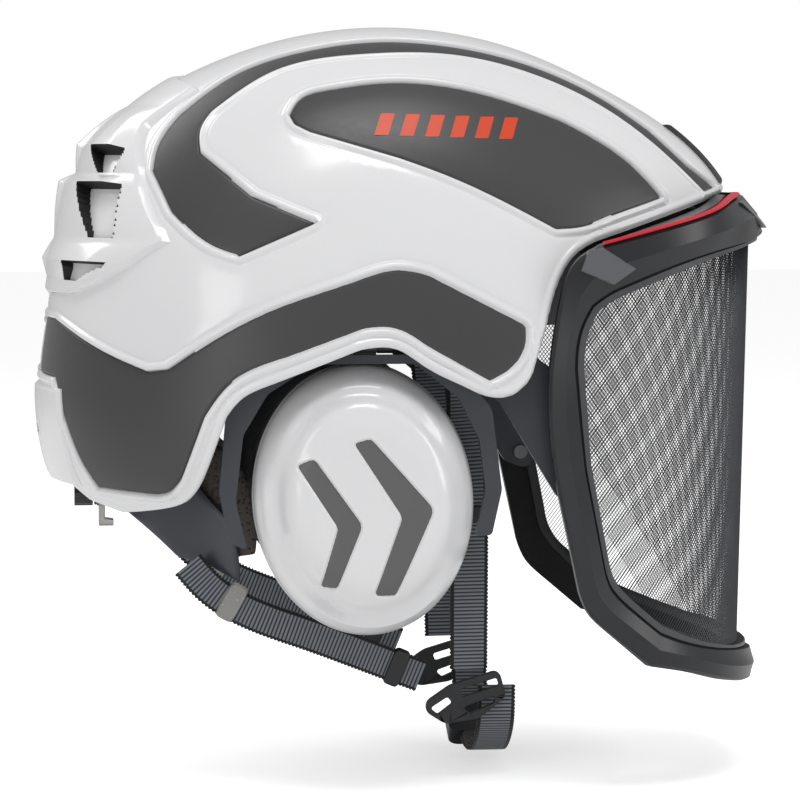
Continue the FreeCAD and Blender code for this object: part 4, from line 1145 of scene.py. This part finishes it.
def build_cup():
    face = CupFace()
    edge = leaned_ring(0.985, CUP_STEPS)
    loops = [rounded(points, CHEVRON_RADII, 0.8) for points in CHEVRONS]
    rows = [rows_beside(face, loop, [-0.1, -0.45, -0.9, -1.5, 0.1, 1.2]) for loop in loops]
    for share in (0.965, 0.94, 0.91, 0.88):
        rows.append(leaned_ring(share, 150))
    crowd = thin_out(np.vstack(rows), 0.25)
    grid = filler(leaned_ring(0.87, 150), 2.0, crowd, 1.1)
    flat, faces = triangulate(edge, np.vstack([crowd, grid]), edge)
    points, normals = face.frame(flat)
    height = np.zeros(len(points))
    for loop in loops:
        gap = nearest(points, face.frame(resample(loop, 0.3, closed=True))[0])
        outer = np.interp(gap, [0, 0.1, 0.45, 0.9, 1.5], [-0.45, -0.35, 0.12, 0.1, 0.0])
        height = np.where(inside(flat, loop), -1.3, height + outer)
    front = points + normals * height[:, None]
    solid = [front]
    total = len(front)
    ring = list(range(CUP_STEPS))
    for share, level in CUP_SKIRT:
        row = leaned_ring(share, CUP_STEPS)
        solid.append(np.stack([row[:, 0], np.full(CUP_STEPS, -level), row[:, 1]], 1))
        below = list(range(total, total + CUP_STEPS))
        total += CUP_STEPS
        for i in range(CUP_STEPS):
            j = (i + 1) % CUP_STEPS
            faces.append([ring[i], below[i], below[j], ring[j]])
        ring = below
    solid.append(np.array([[0.0, -CUP_SKIRT[-1][1], 0.0]]))
    faces += [[ring[i], total, ring[(i + 1) % CUP_STEPS]] for i in range(CUP_STEPS)]
    solid = np.vstack(solid)
    add_twins("ear_shell", solid, faces, WHITE, "ear_muff", "ear_cup", 38)
    bars_points, bars_faces = [], []
    for loop in loops:
        border = rows_beside(face, loop, [0.22])
        inner = rows_beside(face, border, [0.25, 0.7])
        grid = filler(border, 2.4, np.vstack([border, inner]), 1.0)
        flat, bar = triangulate(border, np.vstack([inner, grid]), border)
        base, normals = face.frame(flat)
        gap = nearest(base, face.frame(resample(border, 0.3, closed=True))[0])
        rise = np.interp(gap, [0, 0.25, 0.7], [-0.75, -0.42, -0.32])
        closed, bar = close_back(base + normals * rise[:, None], base - normals * 1.25, bar)
        bars_faces += [[i + len(bars_points) for i in f] for f in bar]
        bars_points += list(closed)
    add_twins("ear_bars", np.array(bars_points), bars_faces, INLAY, "ear_muff",
              "ear_chevrons", 32)


def add_twins(name, points, faces, look, body, stands_for, angle):
    """A right-hand piece on its own body, and the left-hand one on the other."""
    piece(name + "_right", points, faces, look, body + "_right", [stands_for + "_right"],
          angle=angle)
    other, flipped = mirror_y(points, faces, keep=False)
    piece(name + "_left", other, flipped, look, body + "_left", [stands_for + "_left"],
          angle=angle)


build_cup()

# ---------------------------------------------------------------- webbing

RIB_PITCH = 1.55
RIB_PHASES = ((0.0, 0.0), (0.22, 1.0), (0.55, 1.0), (0.78, 0.0))
WEB_WALL = 1.8
# Round the strap's section: share of the half width, share of the half wall, selvedge or not.
WEB_SECTION = ((-1, -0.55, 1), (-1, 0.55, 1), (-0.96, 0.9, 1), (-0.83, 0.95, 1),
               (-0.80, 0.80, 0), (-0.4, 0.80, 0), (0.0, 0.80, 0), (0.4, 0.80, 0),
               (0.80, 0.80, 0), (0.83, 0.95, 1), (0.96, 0.9, 1), (1, 0.55, 1), (1, -0.55, 1),
               (0.96, -0.9, 1), (0.83, -0.95, 1), (0.80, -0.80, 0), (0.0, -0.80, 0),
               (-0.80, -0.80, 0), (-0.83, -0.95, 1), (-0.96, -0.9, 1))


def strap(name, path, width, flat_way, stands_for=()):
    """Ribbed strap along a path; flat_way gives the direction across it at each point."""
    fine = smooth_run(path, 0.3)
    gaps = np.linalg.norm(np.diff(fine, axis=0), axis=1)
    along = np.concatenate([[0], np.cumsum(gaps)])
    places, ribs = [], []
    for i in range(int(along[-1] / RIB_PITCH)):
        for phase, rib in RIB_PHASES:
            places.append((i + phase) * RIB_PITCH)
            ribs.append(rib)
    places = np.array(places)
    ribs = np.array(ribs)
    spine = np.stack([np.interp(places, along, fine[:, i]) for i in range(3)], 1)
    ahead = np.gradient(spine, places, axis=0)
    ahead /= np.linalg.norm(ahead, axis=1)[:, None]
    wide = flat_way(ahead)
    wide /= np.linalg.norm(wide, axis=1)[:, None]
    out = np.cross(ahead, wide)
    half = width / 2
    thick = WEB_WALL / 2
    scallop = 0.22 * np.where(ribs > 0, 1, -1)
    rows, rib_values, edge_values = [], [], []
    for a, b, edged in WEB_SECTION:
        reach = a * half + (scallop * np.sign(a) if abs(a) > 0.9 else 0)
        lift = b * thick + (0 if edged else np.sign(b) * 0.16 * ribs)
        rows.append(spine + wide * np.atleast_1d(reach)[:, None] * np.ones((len(spine), 1))
                    + out * np.atleast_1d(lift)[:, None])
        # Low rib values darken the valleys between ribs in the webbing's colour: painted shade.
        rib_values.append(ribs if not edged else ribs * 0.3)
        edge_values.append(np.full(len(spine), float(edged)))
    points = np.stack(rows, 1).reshape(-1, 3)
    count = len(WEB_SECTION)
    faces = grid_faces(len(spine), count, wrap_columns=True) + end_caps(len(spine), count)
    made = piece(name, points, faces, WEBBING, "helmet", stands_for, angle=50)
    for label, values in (("rib", rib_values), ("selvedge", edge_values)):
        layer = made.data.attributes.new(label, "FLOAT", "POINT")
        layer.data.foreach_set("value", np.stack(values, 1).ravel().astype(np.float32))


def side_way(ahead):
    return np.stack([-ahead[:, 2], np.zeros(len(ahead)), ahead[:, 0]], 1)


def cross_way(ahead):
    return np.tile([1.0, 0.0, 0.0], (len(ahead), 1))


FRONT_PATH = [(41.5, -77, 66), (42, -73, 46), (43, -65, 26), (44.5, -62, 0), (45.5, -56, -38),
              (46, -50, -74)]
REAR_PATH = [(-68, -60.5, -28), (-60, -61.5, -37), (-44, -60.5, -47.5), (-20, -58, -57),
             (5, -54, -67), (27, -49.5, -76)]


CHIN_HALF = 49.5
CHIN_X = 57.5
CHIN_WIDTH = 15.0
# The buckle takes the chin strap's place between these distances to the left.
BUCKLE_SPAN = (15.4, 36.6)


def build_straps():
    for side, sign in (("right", 1), ("left", -1)):
        for label, path, width in (("front", FRONT_PATH, 15.0), ("rear", REAR_PATH, 13.0)):
            middle = [(x, sign * (y + WEB_WALL / 2), z) for x, y, z in path]
            strap(label + "_webbing_" + side, middle, width, side_way,
                  [label + "_strap_" + side])
    half = CHIN_HALF - WEB_WALL / 2
    right = [(-half, -80), (-half + 2, -92), (-33.5, -104.3), (-18, -110.6), (0, -112.6)]
    loop = right + [(-y, z) for y, z in reversed(right[:-1])]
    path = smooth_run([(CHIN_X, y, z) for y, z in loop], 3.0)
    strap("chin_webbing_short", path[path[:, 1] > BUCKLE_SPAN[1]], CHIN_WIDTH, cross_way,
          ["chin_strap"])
    strap("chin_webbing_long", path[path[:, 1] < BUCKLE_SPAN[0]], CHIN_WIDTH, cross_way)


build_straps()

# ---------------------------------------------------------------- keepers on the webbing

KEEPER_SECTION = ((0.0, 0.88), (0.12, 0.96), (0.3, 1.0), (0.7, 1.0), (0.88, 0.96), (1.0, 0.88))


def keeper(name, centre, heading, size, look):
    """Rounded plate round a strap, with its twin: size is length, width and thickness."""
    ahead = np.array([math.cos(heading), 0.0, math.sin(heading)])
    across = np.array([-math.sin(heading), 0.0, math.cos(heading)])
    out = np.array([0.0, -1.0, 0.0])
    turns = np.linspace(0, math.tau, 48, endpoint=False)
    round_x = np.sign(np.cos(turns)) * np.abs(np.cos(turns)) ** 0.4 * size[0] / 2
    round_z = np.sign(np.sin(turns)) * np.abs(np.sin(turns)) ** 0.4 * size[1] / 2
    rows = []
    for level, share in KEEPER_SECTION:
        lift = (level - 0.5) * size[2]
        rows.append(np.array(centre, float) + np.outer(round_x * share, ahead)
                    + np.outer(round_z * share, across) + out * lift)
    points = np.vstack(rows)
    faces = grid_faces(len(rows), 48, wrap_columns=True) + end_caps(len(rows), 48)
    both_sides(name, points, faces, look, "helmet", angle=40)


keeper("rear_clear_keeper", (-50.5, -60.9, -43.2), math.radians(-29), (8.0, 15.6, 4.6), CLEAR)
keeper("rear_black_keeper", (16.5, -51.0, -71.8), math.radians(-23), (7.0, 15.6, 4.6), BLACK)
keeper("front_black_keeper", (44.9, -60.6, -9.0), math.radians(-88), (7.0, 17.4, 4.4), BLACK)

# ---------------------------------------------------------------- padding by cloth simulation


CLOTH_FRAMES = 20


def finished(made):
    """The object's mesh with its modifiers worked in."""
    graph = bpy.context.evaluated_depsgraph_get()
    mesh = bpy.data.meshes.new_from_object(made.evaluated_get(graph))
    made.modifiers.clear()
    made.data = mesh
    mesh.polygons.foreach_set("use_smooth", np.ones(len(mesh.polygons), bool))
    return made


def padded(source, name, look, body, voxel, swell, shrink=0.6):
    """Soft copy of a CAD pad: remeshed, drawn in, puffed up by pressure, then smoothed."""
    mesh = NODES[source].data.copy()
    made = bpy.data.objects.new(name, mesh)
    bpy.context.scene.collection.objects.link(made)
    mesh.materials.clear()
    mesh.materials.append(look)
    remesh = made.modifiers.new("remesh", "REMESH")
    remesh.mode = "VOXEL"
    remesh.voxel_size = voxel * MM
    finished(made)
    count = len(made.data.vertices)
    start = np.empty(count * 3, np.float32)
    normals = np.empty(count * 3, np.float32)
    made.data.vertices.foreach_get("co", start)
    made.data.vertex_normals.foreach_get("vector", normals)
    start = start.reshape(-1, 3) - normals.reshape(-1, 3) * shrink * MM
    made.data.vertices.foreach_set("co", start.ravel())
    made.data.update()
    cloth = made.modifiers.new("cloth", "CLOTH")
    setup = cloth.settings
    setup.quality = 6
    setup.mass = 0.25
    setup.tension_stiffness = 12
    setup.compression_stiffness = 12
    setup.shear_stiffness = 6
    setup.bending_stiffness = 0.4
    setup.use_pressure = True
    setup.uniform_pressure_force = 4.0
    setup.effector_weights.gravity = 0
    cloth.point_cache.frame_start = 1
    cloth.point_cache.frame_end = CLOTH_FRAMES
    for number in range(1, CLOTH_FRAMES + 1):
        bpy.context.scene.frame_set(number)
    graph = bpy.context.evaluated_depsgraph_get()
    puffed = made.evaluated_get(graph).data
    moved = np.empty(count * 3, np.float32)
    puffed.vertices.foreach_get("co", moved)
    made.modifiers.clear()
    move = moved.reshape(-1, 3) - start
    length = np.linalg.norm(move, axis=1)[:, None]
    move *= np.minimum(1, swell * MM / np.maximum(length, 1e-9))
    made.data.vertices.foreach_set("co", (start + move).ravel())
    made.data.update()
    bpy.context.scene.frame_set(1)
    soften = made.modifiers.new("soften", "SMOOTH")
    soften.factor = 0.5
    soften.iterations = 3
    divide = made.modifiers.new("divide", "SUBSURF")
    divide.levels = 1
    divide.render_levels = 1
    finished(made)
    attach(made, body)
    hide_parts(source)
    return made


def twin_of(made, name, body, stands_for):
    """Mirror image of a soft piece for the left-hand side."""
    mesh = made.data.copy()
    co = np.empty(len(mesh.vertices) * 3, np.float32)
    mesh.vertices.foreach_get("co", co)
    co = co.reshape(-1, 3) * [1, -1, 1]
    mesh.vertices.foreach_set("co", co.ravel())
    mesh.flip_normals()
    twin = bpy.data.objects.new(name, mesh)
    bpy.context.scene.collection.objects.link(twin)
    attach(twin, body)
    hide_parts(stands_for)
    return twin


def build_pads():
    cushion = padded("ear_cushion_right", "ear_ring_right", LEATHER, "ear_muff_right",
                     3.0, 3.0, shrink=1.2)
    twin_of(cushion, "ear_ring_left", "ear_muff_left", "ear_cushion_left")
    foam = padded("ear_foam_right", "ear_filling_right", FOAM, "ear_muff_right", 4.0, 2.0)
    twin_of(foam, "ear_filling_left", "ear_muff_left", "ear_foam_left")
    padded("sweat_band", "brow_pad", FABRIC, "helmet", 3.0, 1.5)
    padded("crown_pad", "crown_cushion", FABRIC, "helmet", 3.0, 2.0)
    padded("nape_pad", "nape_cushion", FABRIC, "helmet", 2.5, 1.2, shrink=0.3)
    padded("chin_pad", "chin_cushion", FABRIC, "helmet", 2.2, 1.2, shrink=0.2)


build_pads()

# ---------------------------------------------------------------- the remaining CAD parts

LOOKS = {"white_shell": WHITE, "dark_panel": PANEL, "grey_inlay": INLAY, "black_plastic": BLACK,
         "steel_mesh": WIRE, "steel": STEEL, "rubber_post": RUBBER, "button": BUTTON,
         "red_seal": RED, "webbing": WEBBING, "pad_fabric": FABRIC, "cushion_skin": LEATHER,
         "foam": FOAM, "clear_clip": CLEAR}
OWN_LOOKS = {"ear_yoke_right": SLATE, "ear_yoke_left": SLATE, "nape_cradle": SLATE,
             "visor_arm_right": SLATE, "visor_arm_left": SLATE, "crown_cradle": WEAVE,
             "liner_posts": RUBBER}
SHARP_NODES = ("visor_mesh", "liner_posts")


def finish_parts():
    """Every CAD part that is still seen gets its finish, and all but the sharp ones softly broken
    edges.
    """
    slots = {part["node"]: part.get("material_slot") for part in frame["record"]["subparts"]}
    for name, part in NODES.items():
        if part.hide_render:
            continue
        part.data.materials.clear()
        part.data.materials.append(OWN_LOOKS.get(name) or LOOKS[slots[name]])
        if name in SHARP_NODES:
            continue
        joined = part.modifiers.new("joined", "WELD")
        joined.merge_threshold = 0.00001
        edges = part.modifiers.new("edges", "BEVEL")
        edges.limit_method = "ANGLE"
        edges.angle_limit = math.radians(34)
        edges.width = 0.0004
        edges.segments = 2
        edges.harden_normals = True


finish_parts()

# ---------------------------------------------------------------- studio


def area(name, place, aim, width, depth, watts, colour=(1, 1, 1)):
    data = bpy.data.lights.new(name, "AREA")
    data.shape = "RECTANGLE"
    data.size = width
    data.size_y = depth
    data.energy = watts
    data.color = colour
    lamp = bpy.data.objects.new(name, data)
    bpy.context.scene.collection.objects.link(lamp)
    lamp.location = place
    lamp.rotation_euler = (Vector(aim) - Vector(place)).to_track_quat("-Z", "Y").to_euler()
    return lamp


FLOOR_HALF = 6.0
FLOOR_Z = -0.118
CAMERA_TARGET = Vector((0.0228, 0.0, 0.0329))
CAMERA_WAY = Vector((-0.0956, -0.993, 0.0698))
CAMERA_DISTANCE = 1.5


def build_studio():
    bpy.context.scene.view_settings.view_transform = "Standard"
    mesh = bpy.data.meshes.new("floor")
    mesh.from_pydata([(-FLOOR_HALF, -FLOOR_HALF, FLOOR_Z), (FLOOR_HALF, -FLOOR_HALF, FLOOR_Z),
                      (FLOOR_HALF, FLOOR_HALF, FLOOR_Z), (-FLOOR_HALF, FLOOR_HALF, FLOOR_Z)],
                     [], [(0, 1, 2, 3)])
    finish = material("floor_finish", (246, 246, 246), 0.9, other=(250, 250, 250), scale=3.0,
                      bump=0.0)
    sight = node(finish.node_tree, "ShaderNodeLightPath")
    glow = node(finish.node_tree, "ShaderNodeMapRange")
    glow.inputs["To Max"].default_value = 0.55
    shader = finish.node_tree.nodes["Principled BSDF"]
    finish.node_tree.links.new(sight.outputs["Is Camera Ray"], glow.inputs["Value"])
    finish.node_tree.links.new(glow.outputs["Result"], shader.inputs["Emission Strength"])
    shader.inputs["Emission Color"].default_value = (1, 1, 1, 1)
    mesh.materials.append(finish)
    floor = bpy.data.objects.new("floor", mesh)
    bpy.context.scene.collection.objects.link(floor)
    world = bpy.data.worlds.new("studio")
    world.use_nodes = True
    back = world.node_tree.nodes["Background"]
    back.inputs["Color"].default_value = (1.0, 1.0, 1.0, 1.0)
    sight = node(world.node_tree, "ShaderNodeLightPath")
    level = node(world.node_tree, "ShaderNodeMapRange")
    level.inputs["To Min"].default_value = 0.42
    level.inputs["To Max"].default_value = 1.0
    world.node_tree.links.new(sight.outputs["Is Camera Ray"], level.inputs["Value"])
    world.node_tree.links.new(level.outputs["Result"], back.inputs["Strength"])
    bpy.context.scene.world = world
    area("key", (0.1, -0.7, 1.6), (0, 0, 0.08), 0.8, 0.6, 11)
    area("fill", (-0.9, -1.4, 0.35), (0, 0, 0.05), 0.5, 0.9, 3.5)
    area("rear", (-0.9, 0.7, 1.1), (0, 0, 0.08), 0.8, 0.8, 7)
    area("front", (1.4, -0.5, 0.5), (0.05, 0, 0.03), 0.5, 0.9, 4.5)
    camera_data = bpy.data.cameras.new("camera")
    camera_data.lens = 162
    camera_data.sensor_width = 36
    camera = bpy.data.objects.new("camera", camera_data)
    bpy.context.scene.collection.objects.link(camera)
    camera.location = CAMERA_TARGET + CAMERA_DISTANCE * CAMERA_WAY
    camera.rotation_euler = (CAMERA_TARGET - camera.location).to_track_quat("-Z", "Y").to_euler()
    bpy.context.scene.camera = camera


build_studio()
